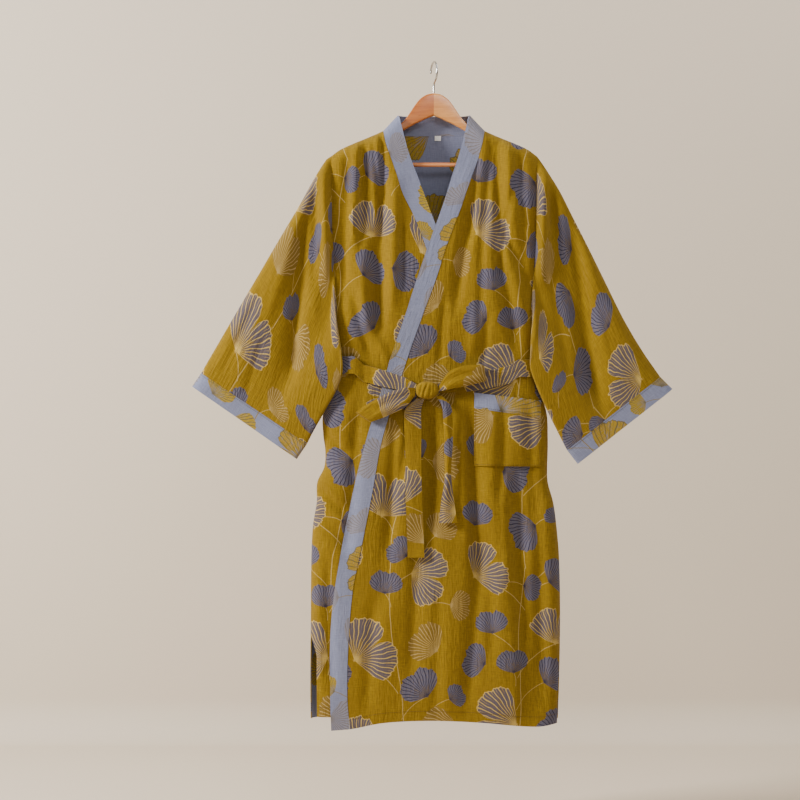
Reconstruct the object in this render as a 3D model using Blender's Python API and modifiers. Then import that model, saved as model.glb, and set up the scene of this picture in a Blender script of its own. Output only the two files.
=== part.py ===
# A wrap robe in the kimono style, hanging on a contoured wooden hanger with a steel hook.
# Metres, +Z up. The front faces -Y and +X is to the right as seen from the front.
# The origin is the point inside the hook's bend that rests on what carries the hanger.

import bisect
import math
from collections import namedtuple

import bmesh
import bpy
from mathutils import Vector

# Cloth and seams
CLOTH_WALL = 0.0018
BAND_WALL = 0.0030
BELT_WALL = 0.0025
LABEL_WALL = 0.0010
SEAM_GAP = 0.0003
BAND_SEAM = 0.0010
CROWN_SEAM = 0.0010
NECK_SEAM = 0.0010
SIDE_SEAM = 0.0008
ARMHOLE_SEAM = 0.0020
WRAP_STEP = 0.0052
WRAP_TOP = -0.16
WRAP_EASE = 0.10

# Body
SHOULDER_TIP = 0.190
NECK_POINT = 0.094
NECK_POINT_Z = -0.128
SHOULDER_MIDDLE = 0.120
BACK_NECK_Z = -0.1343
BACK_NECK_CORNER = 0.085
ARMHOLE_BOTTOM = -0.452
ARMHOLE_HALF = 0.007
ARMHOLE_ROUND = 0.05
ARMHOLE_FOOT = 2.4
SIDE_RADIUS = 0.045
CREST_RADIUS = 0.022
SLIT_TOP = -1.055
SLIT_OPEN = 0.012
SLIT_EASE = 0.05
SLIT_LEFT_SHARE = 0.15
SHOULDER_SWEEP = 0.014
SWEEP_TOP = -0.18
SWEEP_END = -0.50
SIDE_ANGLES = (0, 10, 28, 52, 90)
CREST_DROPS = (0.0, 0.0005, 0.0040, 0.0117, 0.0220, 0.0500)
LEVELS = (
    -0.250, -0.310, -0.370, -0.420, -0.452, -0.500, -0.545, -0.580, -0.615, -0.652,
    -0.690, -0.722, -0.755, -0.785, -0.820, -0.870, -0.930, -0.990, -1.055, -1.110, -1.165,
)

# Side edges of the body and how far the cloth stands in front of and behind the hanger's plane
Side = namedtuple("Side", "z left right front back")
SIDES = (
    Side(-0.128, -0.190, 0.190, 0.020, 0.020),
    Side(-0.176, -0.190, 0.190, 0.022, 0.021),
    Side(-0.300, -0.189, 0.188, 0.026, 0.024),
    Side(-0.452, -0.188, 0.186, 0.026, 0.024),
    Side(-0.500, -0.184, 0.185, 0.023, 0.022),
    Side(-0.560, -0.181, 0.187, 0.017, 0.018),
    Side(-0.610, -0.187, 0.196, 0.019, 0.019),
    Side(-0.652, -0.205, 0.209, 0.024, 0.022),
    Side(-0.690, -0.205, 0.211, 0.026, 0.024),
    Side(-0.722, -0.201, 0.211, 0.026, 0.024),
    Side(-0.752, -0.203, 0.210, 0.026, 0.024),
    Side(-0.780, -0.216, 0.211, 0.027, 0.024),
    Side(-0.817, -0.217, 0.221, 0.027, 0.025),
    Side(-0.860, -0.224, 0.227, 0.027, 0.025),
    Side(-0.920, -0.227, 0.232, 0.027, 0.025),
    Side(-1.030, -0.228, 0.234, 0.028, 0.026),
    Side(-1.151, -0.229, 0.232, 0.028, 0.026),
    Side(-1.240, -0.228, 0.229, 0.028, 0.026),
)

# Top of the shoulders, from the neck to the tip of the shoulder
Crest = namedtuple("Crest", "x z")
CREST = (
    Crest(0.094, -0.1280),
    Crest(0.120, -0.1395),
    Crest(0.150, -0.1525),
    Crest(0.174, -0.1640),
    Crest(0.190, -0.1760),
)

# Bands of the two fronts: the seam edge and the free edge at each height
BandLine = namedtuple("BandLine", "z seam free")
TOP_BAND = (
    BandLine(-0.128, 0.0935, 0.0640),
    BandLine(-0.150, 0.0900, 0.0548),
    BandLine(-0.183, 0.0810, 0.0440),
    BandLine(-0.213, 0.0700, 0.0335),
    BandLine(-0.242, 0.0600, 0.0243),
    BandLine(-0.281, 0.0465, 0.0110),
    BandLine(-0.345, 0.0225, -0.0120),
    BandLine(-0.406, 0.0030, -0.0330),
    BandLine(-0.468, -0.0200, -0.0525),
    BandLine(-0.535, -0.0440, -0.0760),
    BandLine(-0.620, -0.0713, -0.1010),
    BandLine(-0.701, -0.0960, -0.1255),
    BandLine(-0.788, -0.1120, -0.1475),
    BandLine(-0.885, -0.1310, -0.1675),
    BandLine(-0.982, -0.1500, -0.1840),
    BandLine(-1.078, -0.1580, -0.1920),
    BandLine(-1.175, -0.1600, -0.1920),
    BandLine(-1.240, -0.1550, -0.1900),
)
UNDER_BAND = (
    BandLine(-0.128, -0.0935, -0.0640),
    BandLine(-0.150, -0.0900, -0.0524),
    BandLine(-0.183, -0.0785, -0.0415),
    BandLine(-0.213, -0.0683, -0.0300),
    BandLine(-0.244, -0.0586, -0.0190),
    BandLine(-0.284, -0.0387, -0.0040),
    BandLine(-0.345, -0.0150, 0.0190),
    BandLine(-0.468, 0.0250, 0.0590),
    BandLine(-0.620, 0.0700, 0.1040),
    BandLine(-0.788, 0.1080, 0.1420),
    BandLine(-0.982, 0.1350, 0.1690),
    BandLine(-1.078, 0.1420, 0.1760),
    BandLine(-1.240, 0.1450, 0.1790),
)

# Free edge of a band where it climbs to the shoulder, against the seam edge's drop from the crest
BandTop = namedtuple("BandTop", "drop x y z")
BAND_TOP = (
    BandTop(0.0000, 0.0655, -0.0020, -0.0985),
    BandTop(0.0005, 0.0654, -0.0035, -0.0988),
    BandTop(0.0040, 0.0645, -0.0085, -0.1010),
    BandTop(0.0117, 0.0625, -0.0145, -0.1080),
    BandTop(0.0220, 0.0600, -0.0180, -0.1200),
    BandTop(0.0500, 0.0505, -0.0215, -0.1580),
)

# Back of the neck: seam edge and free edge of the band, from the shoulder to the middle
NeckLine = namedtuple("NeckLine", "seam_x seam_y seam_z free_x free_y free_z")
BACK_NECK = (
    NeckLine(0.0935, -0.0030, -0.1280, 0.0655, -0.0020, -0.0985),
    NeckLine(0.0905, 0.0070, -0.1310, 0.0640, 0.0070, -0.0980),
    NeckLine(0.0810, 0.0140, -0.1340, 0.0570, 0.0135, -0.0978),
    NeckLine(0.0600, 0.0190, -0.1340, 0.0430, 0.0175, -0.0978),
    NeckLine(0.0300, 0.0206, -0.1340, 0.0210, 0.0194, -0.0978),
    NeckLine(0.0000, 0.0208, -0.1340, 0.0000, 0.0196, -0.0978),
)

# Hems of the two fronts
Hem = namedtuple("Hem", "x z")
TOP_HEM = (
    Hem(-0.190, -1.238),
    Hem(-0.155, -1.235),
    Hem(-0.092, -1.2236),
    Hem(-0.003, -1.2197),
    Hem(0.094, -1.2236),
    Hem(0.190, -1.231),
    Hem(0.229, -1.226),
)
HEM_Z = -1.220
UNDER_HEM_Z = -1.214
BACK_HEM_Z = -1.219

# Folds: a soft trough (depth > 0) or ridge (depth < 0) along a line in the front view
Fold = namedtuple("Fold", "x_top z_top x_low z_low width depth")
FOLD_EASE = 0.3
FRONT_FOLDS = (
    Fold(-0.128, -0.200, -0.098, -0.500, 0.016, 0.0050),
    Fold(-0.075, -0.190, -0.070, -0.460, 0.018, -0.0030),
    Fold(0.086, -0.210, 0.040, -0.420, 0.014, 0.0040),
    Fold(0.120, -0.220, 0.155, -0.520, 0.016, 0.0050),
    Fold(0.108, -0.300, 0.110, -0.500, 0.018, -0.0030),
    Fold(0.012, -0.650, -0.012, -0.960, 0.022, 0.0060),
    Fold(0.068, -0.660, 0.085, -0.980, 0.020, 0.0050),
    Fold(0.140, -0.780, 0.165, -1.180, 0.024, 0.0050),
    Fold(-0.060, -0.700, -0.095, -1.150, 0.026, -0.0040),
    Fold(0.040, -0.950, 0.035, -1.200, 0.030, -0.0040),
    Fold(-0.210, -0.830, -0.160, -0.900, 0.014, 0.0050),
)
BACK_FOLDS = (
    Fold(-0.110, -0.220, -0.070, -0.520, 0.022, 0.0055),
    Fold(0.120, -0.220, 0.085, -0.520, 0.022, 0.0050),
    Fold(0.000, -0.200, 0.010, -0.500, 0.030, -0.0035),
    Fold(-0.090, -0.620, -0.130, -1.180, 0.028, 0.0060),
    Fold(-0.010, -0.640, 0.005, -1.080, 0.030, -0.0045),
    Fold(0.080, -0.630, 0.115, -1.190, 0.026, 0.0060),
)
RIGHT_SLEEVE_FOLDS = (
    Fold(-0.225, -0.260, -0.300, -0.620, 0.020, 0.0045),
    Fold(-0.270, -0.330, -0.370, -0.600, 0.024, -0.0035),
)
LEFT_SLEEVE_FOLDS = (
    Fold(0.225, -0.240, 0.300, -0.640, 0.024, 0.0055),
    Fold(0.275, -0.350, 0.350, -0.600, 0.022, -0.0040),
)

# Sleeves: each ring runs from the upper edge to the underarm edge, which hangs in front of the body
Ring = namedtuple("Ring", "top_x top_z under_x under_z nose_y half out")
RIGHT_SLEEVE = (
    Ring(-0.1990, -0.1820, -0.1965, -0.4700, -0.0080, 0.0100, 0.0100),
    Ring(-0.2120, -0.2020, -0.1880, -0.5030, -0.0180, 0.0125, 0.0140),
    Ring(-0.2300, -0.2330, -0.1715, -0.5400, -0.0225, 0.0130, 0.0140),
    Ring(-0.2530, -0.2740, -0.1700, -0.5750, -0.0225, 0.0130, 0.0120),
    Ring(-0.2880, -0.3320, -0.1800, -0.6060, -0.0225, 0.0130, 0.0070),
    Ring(-0.3270, -0.3980, -0.1970, -0.6370, -0.0210, 0.0130, 0.0030),
    Ring(-0.3650, -0.4620, -0.2130, -0.6650, -0.0190, 0.0130, 0.0000),
    Ring(-0.4000, -0.5220, -0.2260, -0.6880, -0.0160, 0.0125, 0.0000),
    Ring(-0.4320, -0.5770, -0.2360, -0.7080, -0.0140, 0.0120, 0.0000),
)
RIGHT_CUFF_END = Ring(-0.4490, -0.6020, -0.2550, -0.7360, -0.0130, 0.0120, 0.0)
LEFT_SLEEVE = (
    Ring(0.1990, -0.1880, 0.1950, -0.4820, -0.0080, 0.0100, 0.0100),
    Ring(0.2120, -0.2080, 0.1880, -0.5120, -0.0180, 0.0125, 0.0140),
    Ring(0.2330, -0.2420, 0.1785, -0.5420, -0.0225, 0.0130, 0.0140),
    Ring(0.2560, -0.2870, 0.1785, -0.5680, -0.0225, 0.0130, 0.0120),
    Ring(0.2860, -0.3450, 0.1880, -0.5960, -0.0225, 0.0130, 0.0070),
    Ring(0.3190, -0.4110, 0.1990, -0.6220, -0.0210, 0.0130, 0.0030),
    Ring(0.3510, -0.4750, 0.2120, -0.6500, -0.0190, 0.0130, 0.0000),
    Ring(0.3850, -0.5330, 0.2290, -0.6840, -0.0160, 0.0125, 0.0000),
    Ring(0.4200, -0.5840, 0.2470, -0.7190, -0.0140, 0.0120, 0.0000),
)
LEFT_CUFF_END = Ring(0.4430, -0.6070, 0.2670, -0.7450, -0.0130, 0.0120, 0.0)
NOSE_HALF = 0.0035
NOSE_RADIUS = 0.006
NOSE_LENGTH = 0.040
NOSE_BLEND = 0.070
UNDERARM_REACH = 0.085
SLEEVE_FOLD_START = 0.05
SLEEVE_TOP_RADIUS = 0.024
SLEEVE_TOP_ANGLES = (0, 30, 60, 90)
SLEEVE_NOSE_STEPS = (0.122, 0.090, 0.058, 0.020)
SLEEVE_MIDDLE_STEPS = 4
CUFF_SLANT = 0.0006

# Pocket on the left front, seen from the front: upper edge, lower edge of its band, bottom
POCKET_LEFT = 0.0745
POCKET_RIGHT = 0.1980
POCKET_TOP_Z = (-0.6135, -0.6280)
POCKET_BAND_Z = (-0.6420, -0.6600)
POCKET_BOTTOM_Z = (-0.7490, -0.7500)
POCKET_LIFT = 0.0032
POCKET_COLUMNS = 8
POCKET_ROWS = 6

# Belt: centre line and half width of the waist strands, from knot to side
Strand = namedtuple("Strand", "x z half")
BELT_LEFT = (
    Strand(-0.0331, -0.6050, 0.0080),
    Strand(-0.0570, -0.5970, 0.0125),
    Strand(-0.0960, -0.5870, 0.0155),
    Strand(-0.1310, -0.5770, 0.0160),
)
BELT_RIGHT = (
    Strand(0.0071, -0.6060, 0.0080),
    Strand(0.0310, -0.6000, 0.0130),
    Strand(0.0650, -0.5950, 0.0160),
    Strand(0.1000, -0.5890, 0.0165),
    Strand(0.1400, -0.5800, 0.0165),
)
BELT_SIDE_Z = (-0.5630, -0.5690)
BELT_BACK_Z = -0.5600
BELT_HALF = 0.0160
BELT_LIFT = 0.0036
BELT_SIDE_ANGLES = (78, 60, 40, 20, 0, -20, -40, -60, -78)
BELT_BACK_STEPS = 6
BELT_PULL = 0.0055
BELT_PULL_REACH = 0.040
BELT_STEP = 0.004
BELT_STEP_EASE = 0.025
KNOT_CENTRE = (-0.0130, -0.0345, -0.6090)
KNOT_SIZE = (0.0440, 0.0205, 0.0330)
KNOT_CAGE = 1.18

# Bow loops: the upper and lower edge from knot to end, with the front and back run's depth
LoopLine = namedtuple("LoopLine", "top_x top_z low_x low_z front_y back_y")
LEFT_LOOP = (
    LoopLine(-0.0356, -0.6045, -0.0350, -0.6180, -0.0375, -0.0335),
    LoopLine(-0.0560, -0.6050, -0.0540, -0.6400, -0.0420, -0.0320),
    LoopLine(-0.0830, -0.6130, -0.0780, -0.6520, -0.0425, -0.0315),
    LoopLine(-0.1130, -0.6290, -0.1000, -0.6615, -0.0415, -0.0315),
    LoopLine(-0.1400, -0.6460, -0.1130, -0.6660, -0.0385, -0.0320),
    LoopLine(-0.1440, -0.6490, -0.1165, -0.6680, -0.0355, -0.0345),
)
RIGHT_LOOP = (
    LoopLine(0.0086, -0.6010, 0.0088, -0.6110, -0.0360, -0.0320),
    LoopLine(0.0290, -0.5740, 0.0310, -0.6060, -0.0420, -0.0290),
    LoopLine(0.0560, -0.5640, 0.0590, -0.6010, -0.0420, -0.0280),
    LoopLine(0.0840, -0.5630, 0.0870, -0.5940, -0.0400, -0.0290),
    LoopLine(0.0910, -0.5640, 0.0940, -0.5925, -0.0355, -0.0330),
)

# Belt tails: edges and depth at each height
Tail = namedtuple("Tail", "z left right y fold")
TAIL_FOLD = ((0.0, 0.0), (0.33, 1.0), (0.66, 0.6), (1.0, 0.0))
LEFT_TAIL = (
    Tail(-0.6242, -0.0320, -0.0175, -0.0306, 0.0),
    Tail(-0.6460, -0.0540, -0.0240, -0.0300, 0.0010),
    Tail(-0.6900, -0.0545, -0.0235, -0.0315, 0.0020),
    Tail(-0.7400, -0.0530, -0.0240, -0.0325, 0.0025),
    Tail(-0.7900, -0.0530, -0.0230, -0.0325, 0.0020),
    Tail(-0.8400, -0.0515, -0.0210, -0.0325, 0.0010),
    Tail(-0.8800, -0.0500, -0.0190, -0.0325, 0.0005),
    Tail(-0.9180, -0.0490, -0.0180, -0.0325, 0.0),
)
RIGHT_TAIL = (
    Tail(-0.6198, 0.0040, 0.0150, -0.0350, 0.0008),
    Tail(-0.6400, 0.0150, 0.0310, -0.0360, 0.0030),
    Tail(-0.6700, 0.0170, 0.0340, -0.0350, 0.0040),
    Tail(-0.7100, 0.0185, 0.0340, -0.0350, 0.0040),
    Tail(-0.7500, 0.0200, 0.0310, -0.0350, 0.0040),
    Tail(-0.7800, 0.0190, 0.0320, -0.0350, 0.0040),
    Tail(-0.8150, 0.0130, 0.0370, -0.0345, 0.0045),
    Tail(-0.8540, 0.0095, 0.0425, -0.0345, 0.0050),
)

# Label in the back of the neck
LABEL_X = (0.0020, 0.0135)
LABEL_Z = (-0.1336, -0.1430)

# Hanger: upper and lower edge of one arm, from the middle to the tip
Arm = namedtuple("Arm", "x top low")
ARM = (
    Arm(0.0000, -0.0565, -0.0985),
    Arm(0.0120, -0.0588, -0.1030),
    Arm(0.0200, -0.0630, -0.1070),
    Arm(0.0275, -0.0690, -0.1105),
    Arm(0.0350, -0.0785, -0.1140),
    Arm(0.0440, -0.0920, -0.1190),
    Arm(0.0520, -0.1035, -0.1235),
    Arm(0.0620, -0.1135, -0.1295),
    Arm(0.0780, -0.1242, -0.1390),
    Arm(0.0940, -0.1322, -0.1470),
    Arm(0.1040, -0.1345, -0.1505),
    Arm(0.1200, -0.1415, -0.1575),
    Arm(0.1450, -0.1523, -0.1690),
    Arm(0.1600, -0.1590, -0.1770),
    Arm(0.1615, -0.1597, -0.1975),
    Arm(0.1680, -0.1632, -0.2010),
    Arm(0.1760, -0.1690, -0.2020),
    Arm(0.1815, -0.1760, -0.1990),
    Arm(0.1840, -0.1820, -0.1940),
)
ARM_HALF = 0.006
ARM_ROUND = 0.0035
BAR_Z = -0.1905
BAR_RADIUS = 0.0040
BAR_HALF_LENGTH = 0.1601
HOOK_WIRE = 0.0018
HOOK_BEND = 0.0190
HOOK_TURN = math.radians(17)
HOOK_NECK = ((0.0, -0.0430), (-0.0015, -0.0385), (-0.0065, -0.0352))
HOOK_ANGLES = range(222, -16, -14)

PartMaterial = namedtuple("PartMaterial", "colour roughness metallic")
MUSTARD = PartMaterial("A88417", 0.85, 0.0)
LAVENDER = PartMaterial("8488A0", 0.85, 0.0)
WHITE = PartMaterial("ECEAE6", 0.80, 0.0)
WOOD = PartMaterial("C98438", 0.40, 0.0)
STEEL = PartMaterial("A8A6A3", 0.30, 1.0)


# Reading the tables

def read(table, by, column, place):
    """The value of a column at a place, on a smooth curve through the table's rows."""
    rows = sorted(table, key=lambda row: getattr(row, by))
    keys = [getattr(row, by) for row in rows]
    values = [getattr(row, column) for row in rows]
    if place <= keys[0]:
        return values[0]
    if place >= keys[-1]:
        return values[-1]
    low = bisect.bisect_right(keys, place) - 1

    def slope(index):
        before = max(index - 1, 0)
        after = min(index + 1, len(keys) - 1)
        return (values[after] - values[before]) / (keys[after] - keys[before])

    span = keys[low + 1] - keys[low]
    part = (place - keys[low]) / span
    start = slope(low) * span
    end = slope(low + 1) * span
    rise = values[low + 1] - values[low]
    bend = 3 * rise - 2 * start - end
    twist = start + end - 2 * rise
    return values[low] + part * (start + part * (bend + part * twist))


def mix(first, second, share):
    return first + (second - first) * share


def smooth(value):
    part = min(max(value, 0.0), 1.0)
    return part * part * (3 - 2 * part)


def round_in(distance, radius, power=0.5):
    """0 at an edge and 1 one radius inside it, as a rounded edge."""
    part = min(max(distance / radius, 0.0), 1.0)
    return (1 - (1 - part) ** 2) ** power


def rounding(radius, angles):
    return [radius * (1 - math.cos(math.radians(angle))) for angle in angles]


# The garment's form

def sweep(x, z):
    """The hanger's arms come forward towards their tips, and the upper cloth follows them."""
    reach = min(abs(x) / SHOULDER_TIP, 1.1)
    return -SHOULDER_SWEEP * reach**2 * smooth((z - SWEEP_END) / (SWEEP_TOP - SWEEP_END))


def fold_depth(folds, x, z):
    total = 0.0
    for fold in folds:
        run_x = fold.x_low - fold.x_top
        run_z = fold.z_low - fold.z_top
        length = math.hypot(run_x, run_z)
        along = ((x - fold.x_top) * run_x + (z - fold.z_top) * run_z) / length**2
        across = ((x - fold.x_top) * run_z - (z - fold.z_top) * run_x) / length
        ends = smooth(0.5 + along / FOLD_EASE) * smooth(0.5 + (1 - along) / FOLD_EASE)
        total += fold.depth * ends * math.exp(-((across / fold.width) ** 2))
    return total


def armhole(z):
    """1 along the armhole and 0 below it, rounded at its foot."""
    return round_in(z - ARMHOLE_BOTTOM, ARMHOLE_ROUND)


def side_x(z, side):
    return read(SIDES, "z", "left" if side < 0 else "right", z)


def crest_z(x):
    return read(CREST, "x", "z", abs(x))


def body_depth(x, z, face, drop=1.0):
    """How far a panel of the body stands from the sweep line: face is "front" or "back"."""
    edge = min(x - side_x(z, -1), side_x(z, 1) - x)
    open_half = ARMHOLE_HALF * armhole(z)
    full = read(SIDES, "z", face, z)
    rise = round_in(edge, SIDE_RADIUS, 0.5 + 0.4 * armhole(z))
    crest = round_in(drop, CREST_RADIUS)
    folds = fold_depth(FRONT_FOLDS if face == "front" else BACK_FOLDS, x, z)
    return SIDE_SEAM / 2 + (open_half + (full - open_half - folds) * rise) * crest


def front_y(x, z, layer, drop=1.0):
    """Layer 0 is the upper front, layer 1 the front that it covers."""
    step = WRAP_STEP * layer * smooth((WRAP_TOP - z) / WRAP_EASE)
    edge = min(x - side_x(z, -1), side_x(z, 1) - x)
    return sweep(x, z) - body_depth(x, z, "front", drop) + step * round_in(edge, SIDE_RADIUS)


def back_y(x, z, drop=1.0):
    general = sweep(x, z) + body_depth(x, z, "back")
    if abs(x) >= NECK_POINT:
        return sweep(x, z) + body_depth(x, z, "back", drop)
    at_neck = read(BACK_NECK, "seam_x", "seam_y", abs(x))
    return mix(at_neck, general, round_in(drop, CREST_RADIUS))


# Making the pieces

def linear(hex_colour):
    def channel(value):
        return value / 12.92 if value <= 0.04045 else ((value + 0.055) / 1.055) ** 2.4

    return tuple(channel(int(hex_colour[i:i + 2], 16) / 255) for i in (0, 2, 4)) + (1.0,)


def finish(obj, look, parts, angle=40):
    material = bpy.data.materials.new(obj.name)
    material.use_nodes = True
    shader = material.node_tree.nodes["Principled BSDF"]
    shader.inputs["Base Color"].default_value = linear(look.colour)
    shader.inputs["Roughness"].default_value = look.roughness
    shader.inputs["Metallic"].default_value = look.metallic
    obj.data.materials.append(material)
    if obj.type == "MESH":
        obj.data.shade_smooth()
        obj.data.set_sharp_from_angle(angle=math.radians(angle))
    for collection in list(obj.users_collection):
        collection.objects.unlink(obj)
    parts["collection"].objects.link(obj)
    obj.parent = parts["rest"]
    return obj


def mesh_object(name, rows, around=False, caps=False):
    """Faces between rows of points, open or closed around, with the ends capped if asked."""
    form = bmesh.new()
    points = [[form.verts.new(Vector(point)) for point in row] for row in rows]
    columns = len(rows[0])
    for first, second in zip(points, points[1:]):
        for i in range(columns if around else columns - 1):
            j = (i + 1) % columns
            form.faces.new((first[i], first[j], second[j], second[i]))
    if caps:
        form.faces.new(points[0])
        form.faces.new(points[-1])
    bmesh.ops.recalc_face_normals(form, faces=form.faces)
    mesh = bpy.data.meshes.new(name)
    form.to_mesh(mesh)
    form.free()
    obj = bpy.data.objects.new(name, mesh)
    bpy.context.scene.collection.objects.link(obj)
    return obj


def cloth(name, rows, wall, look, parts, around=False):
    """A sheet through rows of points, with its wall half on each side."""
    obj = mesh_object(name, rows, around)
    shell = obj.modifiers.new("wall", "SOLIDIFY")
    shell.thickness = wall
    shell.offset = 0
    shell.use_even_offset = True
    return finish(obj, look, parts)


# Body panels

def panel_rows(columns, hem):
    """Heights of a panel's rows at each column: down from the crest, then the common levels, then the hem."""
    heights = []
    for drop in CREST_DROPS:
        heights.append([(crest - drop, drop) for crest in columns])
    for level in LEVELS:
        heights.append([(level, 1.0)] * len(columns))
    heights.append([(low, 1.0) for low in hem])
    return heights


def top_hem(x):
    return read(TOP_HEM, "x", "z", x)


def under_hem(x):
    return UNDER_HEM_Z


def front_panel(name, side, band, layer, middle_columns, hem_at, parts):
    steps = rounding(SIDE_RADIUS, SIDE_ANGLES)

    def row_xs(z):
        slit = SLIT_OPEN * smooth((SLIT_TOP - z) / SLIT_EASE)
        if side > 0:
            slit *= SLIT_LEFT_SHARE
        edge = side_x(z, side) - side * slit
        inner = read(band, "z", "seam", z)
        xs = [edge - side * step for step in steps]
        last = xs[-1]
        xs += [mix(last, inner, (i + 1) / middle_columns) for i in range(middle_columns)]
        return xs

    top_xs = [side * SHOULDER_TIP - side * step for step in steps]
    neck = read(band, "z", "seam", NECK_POINT_Z)
    top_xs += [mix(top_xs[len(steps) - 1], neck, (i + 1) / middle_columns) for i in range(middle_columns)]
    crests = [crest_z(x) for x in top_xs]
    hem = [hem_at(x) for x in row_xs(HEM_Z)]
    rows = []
    for heights in panel_rows(crests, hem):
        row = []
        for column, (z, drop) in enumerate(heights):
            x = row_xs(z)[column]
            row.append((x, front_y(x, z, layer, drop), z))
        rows.append(row)
    return cloth(name, rows, CLOTH_WALL, MUSTARD, parts)


def back_panel(parts):
    steps = rounding(SIDE_RADIUS, SIDE_ANGLES)
    half = [SHOULDER_TIP - step for step in steps] + [SHOULDER_MIDDLE]
    half += [NECK_POINT] + [line.seam_x for line in BACK_NECK[1:]]
    top_xs = [-x for x in half[:-1]] + half[::-1]
    fixed = len(steps)

    def row_xs(z):
        left = side_x(z, -1)
        right = side_x(z, 1)
        xs = []
        for column, top_x in enumerate(top_xs):
            share = (top_x + SHOULDER_TIP) / (2 * SHOULDER_TIP)
            spread = mix(left, right, share)
            if column < fixed:
                spread = left + steps[column]
            if column >= len(top_xs) - fixed:
                spread = right - steps[len(top_xs) - 1 - column]
            xs.append(spread)
        return xs

    crests = []
    for x in top_xs:
        at_neck = abs(x) < NECK_POINT - 0.0001
        crests.append(read(BACK_NECK, "seam_x", "seam_z", abs(x)) - NECK_SEAM if at_neck else crest_z(x))
    hem = [BACK_HEM_Z] * len(top_xs)
    rows = []
    for heights in panel_rows(crests, hem):
        row = []
        for column, (z, drop) in enumerate(heights):
            x = top_xs[column] if drop < CREST_DROPS[-1] else row_xs(z)[column]
            row.append((x, back_y(x, z, drop), z))
        rows.append(row)
    return cloth("back_panel", rows, CLOTH_WALL, MUSTARD, parts)


# Neckband in three stretches

def front_band(name, side, band, layer, hem_at, parts):
    inboard = -side * BAND_SEAM
    rows = []
    for top in BAND_TOP:
        z = NECK_POINT_Z - top.drop
        seam_x = read(band, "z", "seam", z) + inboard
        seam_y = front_y(seam_x, z, layer, top.drop)
        seam = (seam_x, seam_y, z)
        free = (side * top.x, top.y, top.z)
        rows.append([seam, halfway(seam, free), free])
    for level in LEVELS:
        rows.append(band_row(band, level, level, layer, inboard))
    seam_hem = hem_at(read(band, "z", "seam", HEM_Z))
    free_hem = hem_at(read(band, "z", "free", HEM_Z))
    rows.append(band_row(band, seam_hem, free_hem, layer, inboard))
    rows[0] = [(x, y - CROWN_SEAM / 2, z) for x, y, z in rows[0]]
    return cloth(name, rows, BAND_WALL, LAVENDER, parts)


def halfway(first, second):
    return tuple((a + b) / 2 for a, b in zip(first, second))


def band_row(band, seam_z, free_z, layer, inboard):
    seam_x = read(band, "z", "seam", seam_z) + inboard
    free_x = read(band, "z", "free", free_z)
    row = []
    for share in (0.0, 0.5, 1.0):
        x = mix(seam_x, free_x, share)
        z = mix(seam_z, free_z, share)
        row.append((x, front_y(x, z, layer), z))
    return row


def back_band(parts):
    stations = [(1, line) for line in BACK_NECK] + [(-1, line) for line in reversed(BACK_NECK[:-1])]
    rows = []
    for side, line in stations:
        inboard = BAND_SEAM if line.seam_x > BACK_NECK_CORNER else 0.0
        seam = (side * (line.seam_x - inboard), line.seam_y, line.seam_z)
        free = (side * line.free_x, line.free_y, line.free_z)
        rows.append([seam, halfway(seam, free), free])
    for end in (0, -1):
        rows[end] = [(x, y + CROWN_SEAM / 2, z) for x, y, z in rows[end]]
    return cloth("neckband_back", rows, BAND_WALL, LAVENDER, parts)


# Sleeves and cuffs

def ring_points(ring, folds):
    """One closed ring: down the front from the upper edge to the underarm edge, and up the back."""
    top = (ring.top_x, ring.top_z)
    under = (ring.under_x, ring.under_z)
    length = math.hypot(top[0] - under[0], top[1] - under[1])
    from_top = rounding(SLEEVE_TOP_RADIUS, SLEEVE_TOP_ANGLES)
    start = from_top[-1]
    end = length - SLEEVE_NOSE_STEPS[0]
    middle = [mix(start, end, (i + 1) / SLEEVE_MIDDLE_STEPS) for i in range(SLEEVE_MIDDLE_STEPS - 1)]
    down = from_top + middle + [length - step for step in SLEEVE_NOSE_STEPS] + [length]

    def at(distance, face):
        share = distance / length
        x = mix(top[0], under[0], share)
        z = mix(top[1], under[1], share)
        left = length - distance
        spread = smooth((left - NOSE_LENGTH) / NOSE_BLEND)
        centre = mix(ring.nose_y, sweep(x, z), spread)
        half = mix(min(NOSE_HALF, ring.half), ring.half, spread) * round_in(left, NOSE_RADIUS)
        half *= round_in(distance, SLEEVE_TOP_RADIUS)
        fold_start = round_in(distance, SLEEVE_FOLD_START)
        if face > 0:
            bulge = min(abs(left - UNDERARM_REACH) / UNDERARM_REACH, 1.0)
            x += math.copysign(ring.out * (1 - bulge**2) ** 2, x)
        folded = fold_depth(folds, x, z) * spread * fold_start
        return (x, centre + face * half + folded, z)

    return [at(distance, -1) for distance in down] + [at(distance, 1) for distance in down[-2:0:-1]]


def armhole_ring(side, points):
    """The first ring lies against the armhole's edge, just outside it."""
    top = points[0]
    under = points[len(points) // 2]
    ring = []
    for index, point in enumerate(points):
        share = (point[2] - under[2]) / (top[2] - under[2])
        crest = crest_z(SHOULDER_TIP)
        z = mix(ARMHOLE_BOTTOM, crest, share)
        x = side_x(z, side) + side * ARMHOLE_SEAM * mix(ARMHOLE_FOOT, 1.0, armhole(z))
        half = ARMHOLE_HALF * armhole(z) * round_in(crest - z, CREST_RADIUS)
        face = -1 if index <= len(points) // 2 else 1
        ring.append((x, sweep(x, z) + face * half, z))
    return ring


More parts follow.
